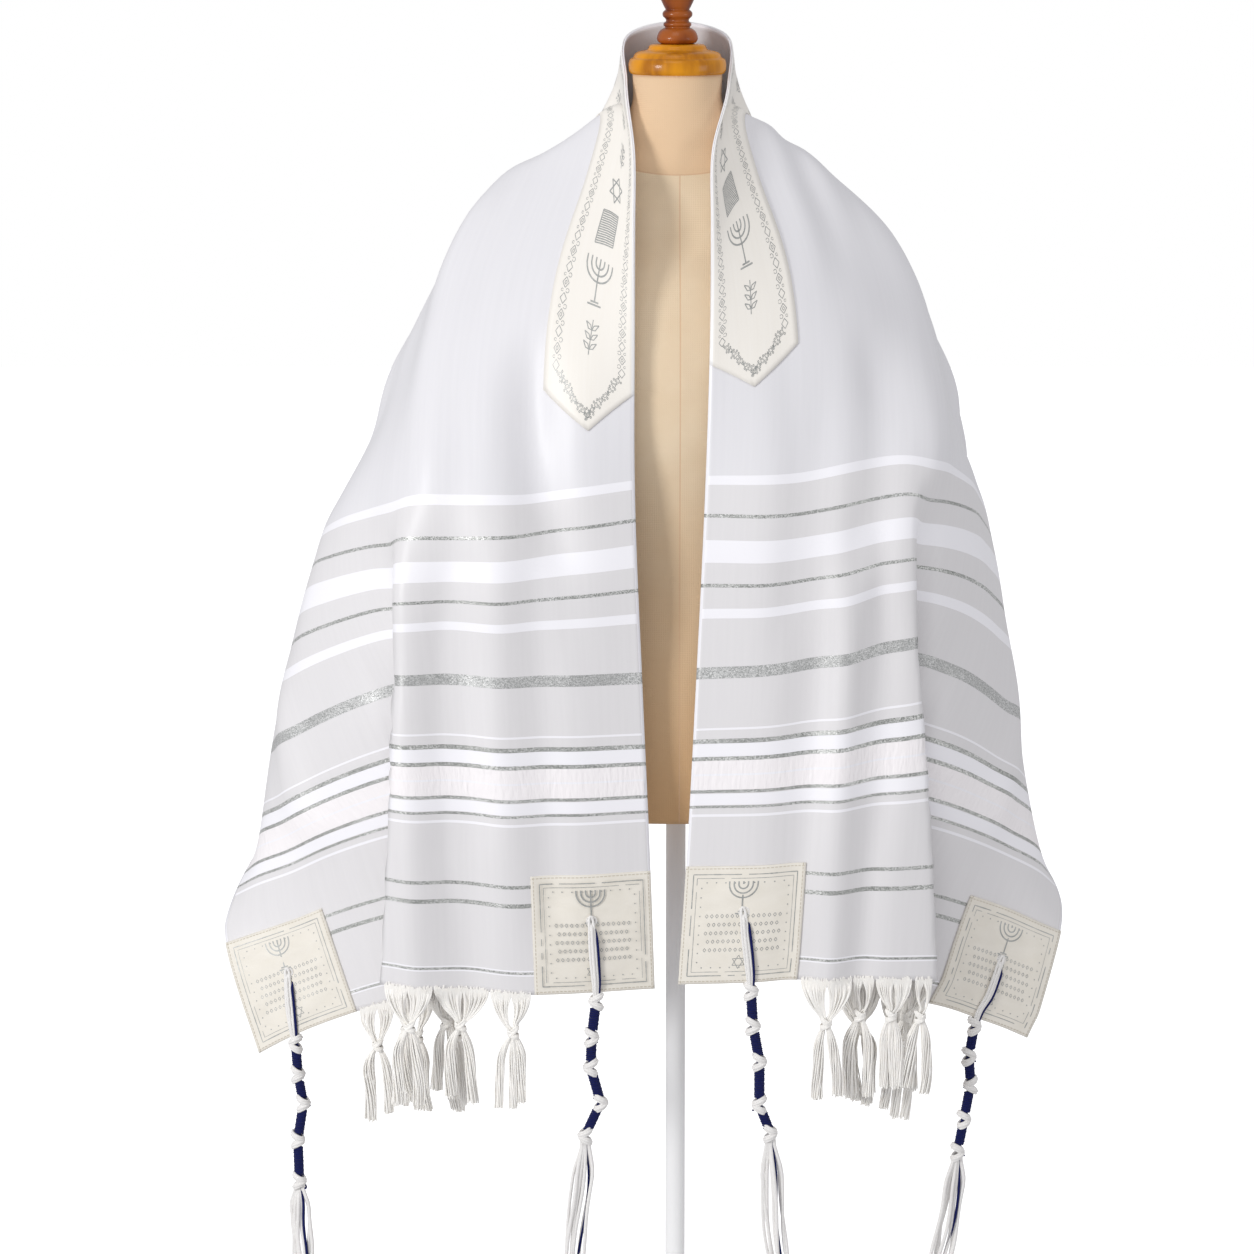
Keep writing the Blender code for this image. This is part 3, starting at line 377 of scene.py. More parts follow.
# Soft creases of the worn cloth. Columns: side, the start and end of the crease as distances from
# the hem and from the front edge, half-width, and rise outward
CREASES = (
    ("left", (0.68, 0.190), (0.42, 0.165), 0.030, 0.0125),
    ("left", (0.56, 0.098), (0.38, 0.058), 0.026, -0.0110),
    ("left", (0.88, 0.150), (0.62, 0.195), 0.022, 0.0065),
    ("left", (0.66, 0.300), (0.50, 0.330), 0.018, 0.0040),
    ("left", (0.56, 0.060), (0.30, 0.060), 0.016, -0.0030),
    ("left", (0.43, 0.120), (0.06, 0.128), 0.015, 0.0030),
    ("left", (0.40, 0.175), (0.02, 0.180), 0.012, -0.0030),
    ("left", (0.30, 0.300), (0.05, 0.315), 0.015, -0.0040),
    ("left", (0.34, 0.420), (0.16, 0.440), 0.020, 0.0050),
    ("right", (0.80, 0.100), (0.60, 0.108), 0.016, 0.0050),
    ("right", (0.69, 0.220), (0.42, 0.212), 0.030, 0.0120),
    ("right", (0.70, 0.290), (0.52, 0.330), 0.016, 0.0050),
    ("right", (0.56, 0.155), (0.36, 0.150), 0.028, -0.0110),
    ("right", (0.84, 0.130), (0.64, 0.150), 0.018, 0.0045),
    ("right", (0.82, 0.190), (0.60, 0.280), 0.013, 0.0045),
    ("right", (0.55, 0.070), (0.28, 0.075), 0.016, -0.0035),
    ("right", (0.42, 0.125), (0.03, 0.118), 0.013, 0.0035),
    ("right", (0.38, 0.170), (0.10, 0.175), 0.012, -0.0035),
    ("right", (0.30, 0.300), (0.05, 0.300), 0.016, -0.0035),
    ("right", (0.34, 0.420), (0.15, 0.440), 0.020, 0.0045),
)
# The back's lower edge hangs in even waves: their pitch and depth, and where they fade in across
# the cloth and up from the hem
BACK_FOLD_PITCH = 0.155
BACK_FOLD_DEPTH = 0.017
BACK_FOLD_ACROSS = (0.20, 0.50)
BACK_FOLD_ALONG = (0.40, 0.62)


def by_length(points, distances):
    """Points at the given distances along a section that has the cloth's width."""
    bends = np.sqrt(np.linalg.norm(np.diff(points, axis=0), axis=1))
    knots = np.concatenate(([0.0], np.cumsum(bends)))
    fine = smooth_line(knots, points, np.linspace(0.0, knots[-1], 400))
    run = np.concatenate(([0.0], np.cumsum(np.linalg.norm(np.diff(fine, axis=0), axis=1))))
    run *= max(1.0, CLOTH_WIDTH / run[-1])
    return np.stack([np.interp(distances, run, fine[:, axis]) for axis in range(3)], axis=1)


def ramp(value, start, end):
    """Rises smoothly from 0 at start to 1 at end."""
    t = np.clip((value - start) / (end - start), 0.0, 1.0)
    return t * t * (3 - 2 * t)


def surface_normals(points):
    """Unit normals of a grid of points, on the side that is seen when the cloth is worn."""
    normals = np.cross(np.gradient(points, axis=0), np.gradient(points, axis=1))
    return normals / np.linalg.norm(normals, axis=2, keepdims=True)


def drape(along, across):
    """Middle surface of the worn cloth: a grid of points from left hem to right hem, and its normals."""
    rows = [[(-x, y, z) for x, y, z in row[1:]] for row in LEFT_SECTIONS]
    rows += [list(row[1:]) for row in reversed(RIGHT_SECTIONS)]
    knots = [row[0] for row in LEFT_SECTIONS] + [CLOTH_LENGTH - row[0] for row in reversed(RIGHT_SECTIONS)]
    table = np.array(rows, dtype=float) * MM
    guides = [smooth_line(np.array(knots), table[:, column], along) for column in range(table.shape[1])]
    points = np.stack([by_length(np.array(section), across) for section in zip(*guides)])
    normals = surface_normals(points)
    lift = np.zeros(points.shape[:2])
    from_hem = np.minimum(along, CLOTH_LENGTH - along)[:, None]
    for side, place, half_width, depth, low, high in FRONT_FOLDS:
        here = (along < HALF_LENGTH) if side == "left" else (along > HALF_LENGTH)
        shown = ramp(from_hem, low - FOLD_FADE, low) * (1 - ramp(from_hem, high - FOLD_FADE, high))
        lift += here[:, None] * shown * depth * np.exp(-(((across[None, :] - place) / half_width) ** 2))
    for side, (start, place_a), (end, place_b), half_width, rise in CREASES:
        here = (along < HALF_LENGTH) if side == "left" else (along > HALF_LENGTH)
        part = (start - from_hem) / (start - end)
        bow = 0.006 * np.sin(math.pi * part)
        distance = across[None, :] - place_a - (place_b - place_a) * part - bow
        shown = ramp(part, -0.15, 0.25) * (1 - ramp(part, 0.72, 1.12))
        lift += here[:, None] * shown * rise * np.exp(-((distance / half_width) ** 2))
    waves = np.cos(2 * math.pi * (along[:, None] - HALF_LENGTH) / BACK_FOLD_PITCH)
    lift += (BACK_FOLD_DEPTH * waves * ramp(across[None, :], *BACK_FOLD_ACROSS)
             * ramp(from_hem, *BACK_FOLD_ALONG))
    points = points + normals * lift[:, :, None]
    return points, surface_normals(points)


cloth_along = np.linspace(0.0, CLOTH_LENGTH, CLOTH_ALONG + 1)
cloth_across = np.linspace(0.0, CLOTH_WIDTH, CLOTH_ACROSS + 1)
cloth_points, cloth_normals = drape(cloth_along, cloth_across)


def on_cloth(along, across, lift=0.0):
    """Point on the cloth at a distance from the left hem and from the front edge, lifted outward."""
    i = min(max(along / CLOTH_LENGTH, 0.0), 1.0) * CLOTH_ALONG
    j = min(max(across / CLOTH_WIDTH, 0.0), 1.0) * CLOTH_ACROSS
    i0 = min(int(i), CLOTH_ALONG - 1)
    j0 = min(int(j), CLOTH_ACROSS - 1)
    s = i - i0
    t = j - j0
    found = []
    for grid in (cloth_points, cloth_normals):
        near = grid[i0, j0] * (1 - t) + grid[i0, j0 + 1] * t
        far = grid[i0 + 1, j0] * (1 - t) + grid[i0 + 1, j0 + 1] * t
        found.append(near * (1 - s) + far * s)
    normal = Vector(found[1]).normalized()
    return Vector(found[0]) + normal * lift


def cloth_shell(columns, rows, spot, lift, unrolled=None):
    """A sheet on the drape, its faces outward, for a wall to be put on.

    spot gives the distances along and across for two shares from 0 to 1, lift the height above the
    cloth, and unrolled the place in the flat piece, which the material reads as UV metres.
    """
    unrolled = unrolled or (lambda a, b: spot(a, b)[::-1])
    body = mapped_grid(columns, rows, lambda a, b: on_cloth(*spot(a, b), lift=lift(a, b)))
    layer = body.loops.layers.uv.active
    for face in body.faces:
        for loop in face.loops:
            loop[layer].uv = unrolled(*loop[layer].uv)
    outward = on_cloth(*spot(0.5, 0.5), lift=1.0) - on_cloth(*spot(0.5, 0.5))
    centre = on_cloth(*spot(0.5, 0.5))
    middle = min(body.faces, key=lambda face: (face.calc_center_median() - centre).length)
    if middle.normal.dot(outward) < 0:
        bmesh.ops.reverse_faces(body, faces=list(body.faces))
    return body


def thicken(piece, wall):
    """Gives a shell its wall, outward from its faces' inner side."""
    solidify = piece.modifiers.new("wall", "SOLIDIFY")
    solidify.thickness = wall
    solidify.offset = 1.0
    solidify.use_even_offset = False


# Satin floats catch a broad soft light, so the ground looks pearly and the white stripes brighter.
# Lurex is a flat metallic yarn; its glints are painted into its colour as bright specks among darker ones.
satin = new_material("striped_satin", "#E7E6EA", 0.43, Sheen_Weight=0.25, Sheen_Roughness=0.35,
                     Specular_IOR_Level=0.45)
satin_uv = add(satin, "ShaderNodeUVMap", uv_map="shares")
satin_axes = add(satin, "ShaderNodeSeparateXYZ", {"Vector": satin_uv}).node.outputs
to_far_hem = add(satin, "ShaderNodeMath", {0: CLOTH_LENGTH, 1: satin_axes["Y"]}, operation="SUBTRACT")
hem_distance = add(satin, "ShaderNodeMath", {0: satin_axes["Y"], 1: to_far_hem},
                   operation="MINIMUM")

# Bands across both ends: lower and upper edge in millimetres from the hem
WHITE_BANDS = ((452.4, 460.4), (382.8, 403.2), (332.1, 341.0), (230.7, 232.6), (206.8, 218.6),
               (189.6, 191.4), (163.3, 173.5), (152.7, 155.1), (17.0, 18.2), (21.0, 22.2))
SILVER_BANDS = ((423.4, 426.6), (360.4, 363.7), (277.1, 287.7), (218.6, 222.7), (203.2, 206.8),
                (174.1, 176.9), (160.5, 162.8), (97.0, 100.2), (79.5, 83.4), (18.6, 20.6))
PUCKERED_BAND = (176.9, 203.2)
PLAIN_START = 456.0


def bands_mask(material, distance, bands):
    """1 inside any of the bands, and 0 elsewhere."""
    total = None
    for low, high in bands:
        inside = add(material, "ShaderNodeMath",
                     {0: distance, 1: (low + high) / 2 * MM, 2: (high - low) / 2 * MM},
                     operation="COMPARE")
        total = inside if total is None else add(material, "ShaderNodeMath", {0: total, 1: inside},
                                                 operation="MAXIMUM")
    return total


def scaled_uv(material, uv, across, along):
    """UV distances divided by a pattern's size across and along the cloth, in millimetres."""
    return add(material, "ShaderNodeMapping", {"Vector": uv, "Scale": (1 / (across * MM),
                                                                       1 / (along * MM), 1.0)})


# The selvedge, 2.5 mm of plain white weave along both long edges
SELVEDGES = ((0.0, 2.5), (557.5, 560.0))
white_stripes = bands_mask(satin, hem_distance, WHITE_BANDS)
selvedge_mask = bands_mask(satin, satin_axes["X"], SELVEDGES)
white_mask = add(satin, "ShaderNodeMath", {0: white_stripes, 1: selvedge_mask}, operation="MAXIMUM")
silver_mask = bands_mask(satin, hem_distance, SILVER_BANDS)
pucker_mask = bands_mask(satin, hem_distance, (PUCKERED_BAND,))
plain_share = add(satin, "ShaderNodeMath", {0: hem_distance, 1: PLAIN_START * MM},
                  operation="GREATER_THAN")
ground = add(satin, "ShaderNodeMix", {"Factor": plain_share, "A": linear("#E6E4E5"),
                                      "B": linear("#E9E8EB")}, data_type="RGBA")
# Yarns 0.2 mm apart run along the cloth; streaks 4 mm wide stand for their unevenness
yarn_streaks = add(satin, "ShaderNodeTexNoise", {"Vector": scaled_uv(satin, satin_uv, 4.0, 90.0),
                                                 "Scale": 1.0, "Detail": 4.0})
streak_shade = add(satin, "ShaderNodeMapRange", {"Value": yarn_streaks, "From Min": 0.3, "From Max": 0.7,
                                                 "To Min": 0.985, "To Max": 1.01})
streaked = add(satin, "ShaderNodeVectorMath", {0: ground, "Scale": streak_shade}, operation="SCALE")
puckered = add(satin, "ShaderNodeMix", {"Factor": pucker_mask, "A": streaked,
                                        "B": linear("#FCF8F9")}, data_type="RGBA")
whitened = add(satin, "ShaderNodeMix", {"Factor": white_mask, "A": puckered,
                                        "B": linear("#FBFAFE")}, data_type="RGBA")
# Lurex specks with painted glints: each speck's colour runs from dark grey to near white in place of the
# glint it catches; real ones are 0.3 mm, drawn 0.8 mm so that they show
lurex_glint_specks = add(satin, "ShaderNodeTexVoronoi", {"Vector": scaled_uv(satin, satin_uv, 0.8, 0.6),
                                                   "Scale": 1.0}, give="Color")
speck_glint_value = add(satin, "ShaderNodeSeparateXYZ", {"Vector": lurex_glint_specks})
lurex_colour = add(satin, "ShaderNodeMix", {"Factor": speck_glint_value, "A": linear("#858984"),
                                            "B": linear("#FFFFFD")}, data_type="RGBA")
# Painted shade: the foil darkens in broad patches over 50 mm, in place of the flat yarn turning away from the
# light
foil_shade_drift = add(satin, "ShaderNodeTexNoise", {"Vector": scaled_uv(satin, satin_uv, 50.0, 50.0),
                                              "Scale": 1.0})
foil_shade_share = add(satin, "ShaderNodeMapRange", {"Value": foil_shade_drift, "From Min": 0.35, "From Max": 0.65,
                                               "To Min": 0.0, "To Max": 0.45})
lurex_colour = add(satin, "ShaderNodeMix", {"Factor": foil_shade_share, "A": lurex_colour,
                                            "B": linear("#8D8F8B")}, data_type="RGBA")
# The broad stripe has white weft between its lurex, so it is paler than the narrow ones
broad_mask = bands_mask(satin, hem_distance, SILVER_BANDS[2:3])
WHITE_WEFT_SHARE = 0.16
broad_share = add(satin, "ShaderNodeMath", {0: broad_mask, 1: WHITE_WEFT_SHARE}, operation="MULTIPLY")
lurex_colour = add(satin, "ShaderNodeMix", {"Factor": broad_share, "A": lurex_colour,
                                            "B": linear("#FBFAFE")}, data_type="RGBA")
cloth_colour = add(satin, "ShaderNodeMix", {"Factor": silver_mask, "A": whitened, "B": lurex_colour},
                   data_type="RGBA")
feed(satin, "Base Color", cloth_colour)
lurex_metal = add(satin, "ShaderNodeMath", {0: silver_mask, 1: 0.5}, operation="MULTIPLY")
feed(satin, "Metallic", lurex_metal)
pucker_ridges = add(satin, "ShaderNodeTexNoise", {"Vector": scaled_uv(satin, satin_uv, 3.4, 16.0),
                                                  "Scale": 1.0, "Detail": 2.0})
pucker_height = add(satin, "ShaderNodeMath", {0: pucker_ridges, 1: pucker_mask}, operation="MULTIPLY")
# The puckers stand well above the specks and the weave
PUCKER_RELIEF = 2.4
pucker_height = add(satin, "ShaderNodeMath", {0: pucker_height, 1: PUCKER_RELIEF}, operation="MULTIPLY")
speck_height = add(satin, "ShaderNodeMath", {0: speck_glint_value, 1: silver_mask}, operation="MULTIPLY")
weave_height = add(satin, "ShaderNodeMath", {0: yarn_streaks, 1: 0.10}, operation="MULTIPLY")
relief = add(satin, "ShaderNodeMath", {0: pucker_height, 1: weave_height}, operation="ADD")
relief = add(satin, "ShaderNodeMath", {0: relief, 1: speck_height}, operation="ADD")
satin_bump = add(satin, "ShaderNodeBump", {"Height": relief, "Strength": 0.5,
                                           "Distance": 1.0 * MM})
feed(satin, "Normal", satin_bump)

shawl_body = cloth_shell(CLOTH_ALONG, CLOTH_ACROSS, lambda a, b: (a * CLOTH_LENGTH, b * CLOTH_WIDTH),
                         lambda a, b: -CLOTH_WALL / 2)
shawl = add_piece("draped_shawl", shawl_body, [satin], "satin", "shawl_cloth")
thicken(shawl, CLOTH_WALL)

# Neckband
# A strip of ivory satin sewn along the neck edge, pointed at both ends, with a white piped edge.
# Its silver pattern is printed: lozenges and curls down both edges, single motifs down the middle.

BAND_WIDTH = 0.081
TRIM_WALL = 1.0 * MM
SEAM_GAP = 0.3 * MM
TRIM_BASE = CLOTH_WALL / 2 + SEAM_GAP
BAND_ENDS = {"left": {"corner": 0.535, "tip": 0.505}, "right": {"corner": 0.558, "tip": 0.532}}
BAND_ROWS = 150
BAND_COLUMNS = 16


def band_spot(a, b):
    """Distances along and across for a spot on the neckband, whose rows spread into the points."""
    across = b * BAND_WIDTH
    peak = 1 - abs(2 * b - 1)
    start = BAND_ENDS["left"]["corner"] + (BAND_ENDS["left"]["tip"] - BAND_ENDS["left"]["corner"]) * peak
    end = BAND_ENDS["right"]["corner"] + (BAND_ENDS["right"]["tip"] - BAND_ENDS["right"]["corner"]) * peak
    return start + (CLOTH_LENGTH - end - start) * a, across


# Satin floats catch a soft broad light; long streaks stand for its yarns, and the edge is piped white
ivory = new_material("ivory_satin", "#ECE8DD", 0.45, Sheen_Weight=0.2, Sheen_Roughness=0.35)
ivory_uv = add(ivory, "ShaderNodeUVMap", uv_map="shares")
ivory_axes = add(ivory, "ShaderNodeSeparateXYZ", {"Vector": ivory_uv}).node.outputs
piped_edge = add(ivory, "ShaderNodeMath", {0: ivory_axes["X"], 1: 2.6 * MM}, operation="LESS_THAN")
ivory_streaks = add(ivory, "ShaderNodeTexNoise", {"Vector": scaled_uv(ivory, ivory_uv, 3.0, 60.0),
                                                  "Scale": 1.0, "Detail": 4.0})
ivory_tint = add(ivory, "ShaderNodeMix", {"Factor": ivory_streaks, "A": linear("#F4EFE6"),
                                          "B": linear("#F9F5EE")}, data_type="RGBA")
ivory_piped = add(ivory, "ShaderNodeMix", {"Factor": piped_edge, "A": ivory_tint,
                                           "B": linear("#FDFCFB")}, data_type="RGBA")
feed(ivory, "Base Color", ivory_piped)
ivory_bump = add(ivory, "ShaderNodeBump", {"Height": ivory_streaks, "Strength": 0.2, "Distance": 0.4 * MM})
feed(ivory, "Normal", ivory_bump)
band_body = cloth_shell(BAND_ROWS, BAND_COLUMNS, band_spot, lambda a, b: TRIM_BASE)
band = add_piece("satin_neckband", band_body, [ivory], "ivory_satin", "neckband")
thicken(band, TRIM_WALL)

# Corner patches
# Four squares of cream taffeta that reinforce the corners, sewn down round their edges and a
# little wrinkled. Each has an eyelet for its tassel and a printed border.

PATCH_SIDE = 0.108
PATCH_STEPS = 36
# Crisp plain-woven taffeta: nearly matt, with small wrinkles; their shade is painted into its colour in
# patches, along with their bump
cream = new_material("cream_taffeta", "#F2EBDC", 0.6, Sheen_Weight=0.15, Sheen_Roughness=0.5)
cream_uv = add(cream, "ShaderNodeUVMap", uv_map="shares")
cream_wrinkles = add(cream, "ShaderNodeTexNoise", {"Vector": scaled_uv(cream, cream_uv, 22.0, 14.0),
                                                   "Scale": 1.0, "Detail": 3.0, "Distortion": 0.6})
cream_wrinkle_shade = add(cream, "ShaderNodeMix", {"Factor": cream_wrinkles, "A": linear("#E9E3D6"),
                                          "B": linear("#F6F1E7")}, data_type="RGBA")
# Machine stitches run 2.4 mm inside the patch's edge. Real ones are 2.5 mm long, and 3.6 mm here so
# that they show
STITCH_INSET = 2.4 * MM
STITCH_LENGTH = 3.6 * MM
cream_axes = add(cream, "ShaderNodeSeparateXYZ", {"Vector": cream_uv}).node.outputs
cream_stitches = None
for axis, other in (("X", "Y"), ("Y", "X")):
    for place in (STITCH_INSET, PATCH_SIDE - STITCH_INSET):
        line = seam_mask(cream, cream_axes[axis], place, 0.6 * MM)
        repeats = add(cream, "ShaderNodeMath", {0: cream_axes[other], 1: STITCH_LENGTH}, operation="DIVIDE")
        phase = add(cream, "ShaderNodeMath", {0: repeats}, operation="FRACT")
        thread = add(cream, "ShaderNodeMath", {0: phase, 1: 0.68}, operation="LESS_THAN")
        stitch = add(cream, "ShaderNodeMath", {0: line, 1: thread}, operation="MULTIPLY")
        cream_stitches = stitch if cream_stitches is None else add(
            cream, "ShaderNodeMath", {0: cream_stitches, 1: stitch}, operation="MAXIMUM")
cream_sewn = add(cream, "ShaderNodeMix", {"Factor": cream_stitches, "A": cream_wrinkle_shade,
                                          "B": linear("#D3C9B4")}, data_type="RGBA")
feed(cream, "Base Color", cream_sewn)
cream_height = add(cream, "ShaderNodeMath", {0: cream_wrinkles, 1: cream_stitches}, operation="SUBTRACT")
cream_bump = add(cream, "ShaderNodeBump", {"Height": cream_height, "Strength": 0.6, "Distance": 0.9 * MM})
feed(cream, "Normal", cream_bump)


def patch_spot(side, outer):
    """Function for the distances along and across for a spot on one corner patch."""
    first = CLOTH_WIDTH - PATCH_SIDE if outer else 0.0

    def spot(a, b):
        from_hem = a * PATCH_SIDE
        along = from_hem if side == "left" else CLOTH_LENGTH - PATCH_SIDE + from_hem
        return along, first + b * PATCH_SIDE
    return spot


PATCHES = (("inner", "left", False), ("outer", "left", True), ("inner", "right", False),
           ("outer", "right", True))


def patch_rise(a, b):
    """Height of the patch's wrinkles above its flat lay, largest round the eyelet and none at its edges."""
    up = a * PATCH_SIDE / MM
    across = b * PATCH_SIDE / MM
    hump = math.sin(math.pi * a) * math.sin(math.pi * b)
    wave = (math.sin(0.085 * up + 0.11 * across + 0.7) + math.sin(0.16 * across - 0.07 * up + 2.0)
            + 0.6 * math.sin(0.23 * up + 0.05 * across))
    return (1.3 + 0.5 * wave) * 0.62 * MM * min(1.0, 2.2 * hump)


for place, side, outer in PATCHES:
    body = cloth_shell(PATCH_STEPS, PATCH_STEPS, patch_spot(side, outer),
                       lambda a, b: TRIM_BASE + max(0.0, patch_rise(a, b)),
                       lambda a, b: (b * PATCH_SIDE, a * PATCH_SIDE))
    patch = add_piece("taffeta_patch_" + place + "_" + side, body, [cream], "cream_taffeta",
                      "patch_" + place + "_" + side)
    thicken(patch, TRIM_WALL)

# Printed ornament
# Silver ink, screen-printed on the neckband and patches, matt and a little worn. Each stroke is a
# thin ribbon that follows the cloth.

PRINT_LIFT = TRIM_BASE + TRIM_WALL + 0.12 * MM
silver_ink = new_material("silver_screen_ink", "#9DA09E", 0.45, Metallic=0.35)
ink_place = add(silver_ink, "ShaderNodeTexCoord", give="Object")
ink_wear = add(silver_ink, "ShaderNodeTexNoise", {"Vector": ink_place, "Scale": 1 / (3 * MM),
                                                  "Detail": 4.0})
ink_colour = add(silver_ink, "ShaderNodeMix", {"Factor": ink_wear, "A": linear("#868A89"),
                                               "B": linear("#CDCDC9")}, data_type="RGBA")
feed(silver_ink, "Base Color", ink_colour)


def ribbon(body, line, width, to_cloth):
    """One printed stroke along a line of (right, up) points, laid on the cloth."""
    points = [Vector(point) for point in line]
    count = len(points) - 1
    new = bmesh.ops.create_grid(body, x_segments=count, y_segments=1, size=0.5)["verts"]
    for corner in new:
        index = round((corner.co.x + 0.5) * count)
        sideways = corner.co.y * width
        before = points[max(index - 1, 0)]
        after = points[min(index + 1, count)]
        onward = (after - before).normalized()
        spot = points[index] + Vector((-onward.y, onward.x)) * sideways
        corner.co = to_cloth(spot.x, spot.y)


def polygon_strokes(corners, closed=True):
    """Strokes for the sides of a polygon, each cut in short steps."""
    ring = list(corners) + [corners[0]] if closed else list(corners)
    strokes = []
    for a, b in zip(ring, ring[1:]):
        steps = max(1, round((Vector(b) - Vector(a)).length / 0.006))
        strokes.append([Vector(a).lerp(Vector(b), k / steps) for k in range(steps + 1)])
    return strokes


def arc(centre, radius, start, end, steps=10):
    """A stroke along part of a circle, with angles in degrees from the right."""
    angles = np.radians(np.linspace(start, end, steps + 1))
    return [Vector((centre[0] + radius * math.cos(a), centre[1] + radius * math.sin(a))) for a in angles]


def star(centre, radius):
    """Six-pointed star of two crossed triangles."""
    strokes = []
    for turn in (90, 270):
        corners = [Vector((centre[0] + radius * math.cos(math.radians(turn + 120 * k)),
                           centre[1] + radius * math.sin(math.radians(turn + 120 * k)))) for k in range(3)]
        strokes += polygon_strokes(corners)
    return strokes


def lampstand(centre, height):
    """Seven-branched lampstand on a stepped foot."""
    x, y = centre
    top = y + height / 2
    foot = y - height / 2
    strokes = [[Vector((x, foot)), Vector((x, (foot + top) / 2)), Vector((x, top))]]
    branch_pitch = height * 0.155
    for k in (1, 2, 3):
        radius = branch_pitch * k
        strokes.append(arc((x, top - height * 0.06), radius, 180, 360, 14))
    for k in range(-3, 4):
        flame = x + branch_pitch * k
        strokes.append([Vector((flame, top - height * 0.06)), Vector((flame, top + height * 0.03))])
    for step, drop in ((0.13, 0.0), (0.22, 0.07)):
        level = foot - height * drop
        strokes.append([Vector((x - height * step, level)), Vector((x + height * step, level))])
    return strokes


def diamond(centre, half_width, half_height):
    """Outline of a small diamond."""
    x, y = centre
    return polygon_strokes([(x, y + half_height), (x + half_width, y), (x, y - half_height),
                            (x - half_width, y)])


def sprig(centre, height, lean=0.0):
    """Leafy sprig: a stem with three pairs of pointed leaves, turned by an angle."""
    x, y = centre
    strokes = [[(0.0, -0.5), (0.0, 0.0), (0.0, 0.5)]]
    for k in range(3):
        base = -0.34 + 0.27 * k
        for sign in (-1, 1):
            strokes.append([(0.0, base), (sign * 0.13, base + 0.02), (sign * 0.24, base + 0.20)])
            strokes.append([(0.0, base), (sign * 0.07, base + 0.14), (sign * 0.24, base + 0.20)])
    c = math.cos(lean)
    s = math.sin(lean)
    return [[Vector((x + height * (u * c + v * s), y + height * (v * c - u * s))) for u, v in stroke]
            for stroke in strokes]


def print_piece(name, strokes, to_cloth, slot):
    """One piece of all the strokes of a print, each with its width."""
    body = bmesh.new()
    for stroke, width in strokes:
        ribbon(body, stroke, width, to_cloth)
    bmesh.ops.recalc_face_normals(body, faces=body.faces)
    return add_piece(name, body, [silver_ink], slot)


BORDER_INSET = 7.5 * MM
INNER_BORDER_INSET = 11.0 * MM
for place, side, outer in PATCHES:
    spot = patch_spot(side, outer)

    def to_patch(right, up, spot=spot, side=side, outer=outer):
        """Point on the patch, with right and up as a viewer in front sees them."""
        outward = right if side == "right" else PATCH_SIDE - right
        share = up / PATCH_SIDE
        a = share if side == "left" else 1 - share
        b = outward / PATCH_SIDE
        return on_cloth(*spot(a, b), lift=PRINT_LIFT + max(0.0, patch_rise(a, b)))

    random.seed(place + side)
    full = PATCH_SIDE
    strokes = []
    for inset, width in ((BORDER_INSET, 0.9 * MM), (INNER_BORDER_INSET, 0.5 * MM)):
        far = full - inset
        square = [(inset, inset), (far, inset), (far, far), (inset, far)]
        for side_stroke in polygon_strokes(square):
            for a, b in zip(side_stroke, side_stroke[1:]):
                if random.random() < 0.92:
                    strokes.append(([a, b], width * random.uniform(0.7, 1.15)))
    strokes += [(stroke, 1.3 * MM) for stroke in lampstand((0.053, 0.0800), 0.027)]
    # Diaper of small lozenges, every second row set half a step over, and dots inside the border
    for row in range(5):
        level = 0.0625 - 0.0078 * row
        count = 15 - row % 2
        for column in range(count):
            x = full / 2 + 0.0046 * (column - (count - 1) / 2)
            strokes += [(stroke, 0.5 * MM) for stroke in diamond((x, level), 1.3 * MM, 1.7 * MM)]
    for k in range(9):
        step = 20 + 8.5 * k
        for x, y in ((15.5, step), (92.5, step), (step, 15.0), (step, 93.0)):
            strokes += [(stroke, 0.5 * MM) for stroke in diamond((x * MM, y * MM), 0.5 * MM, 0.5 * MM)]
    strokes += [(stroke, 0.6 * MM) for stroke in star((0.053, 0.020), 0.0062)]
    print_piece("patch_print_" + place + "_" + side, strokes, to_patch, "cream_taffeta")

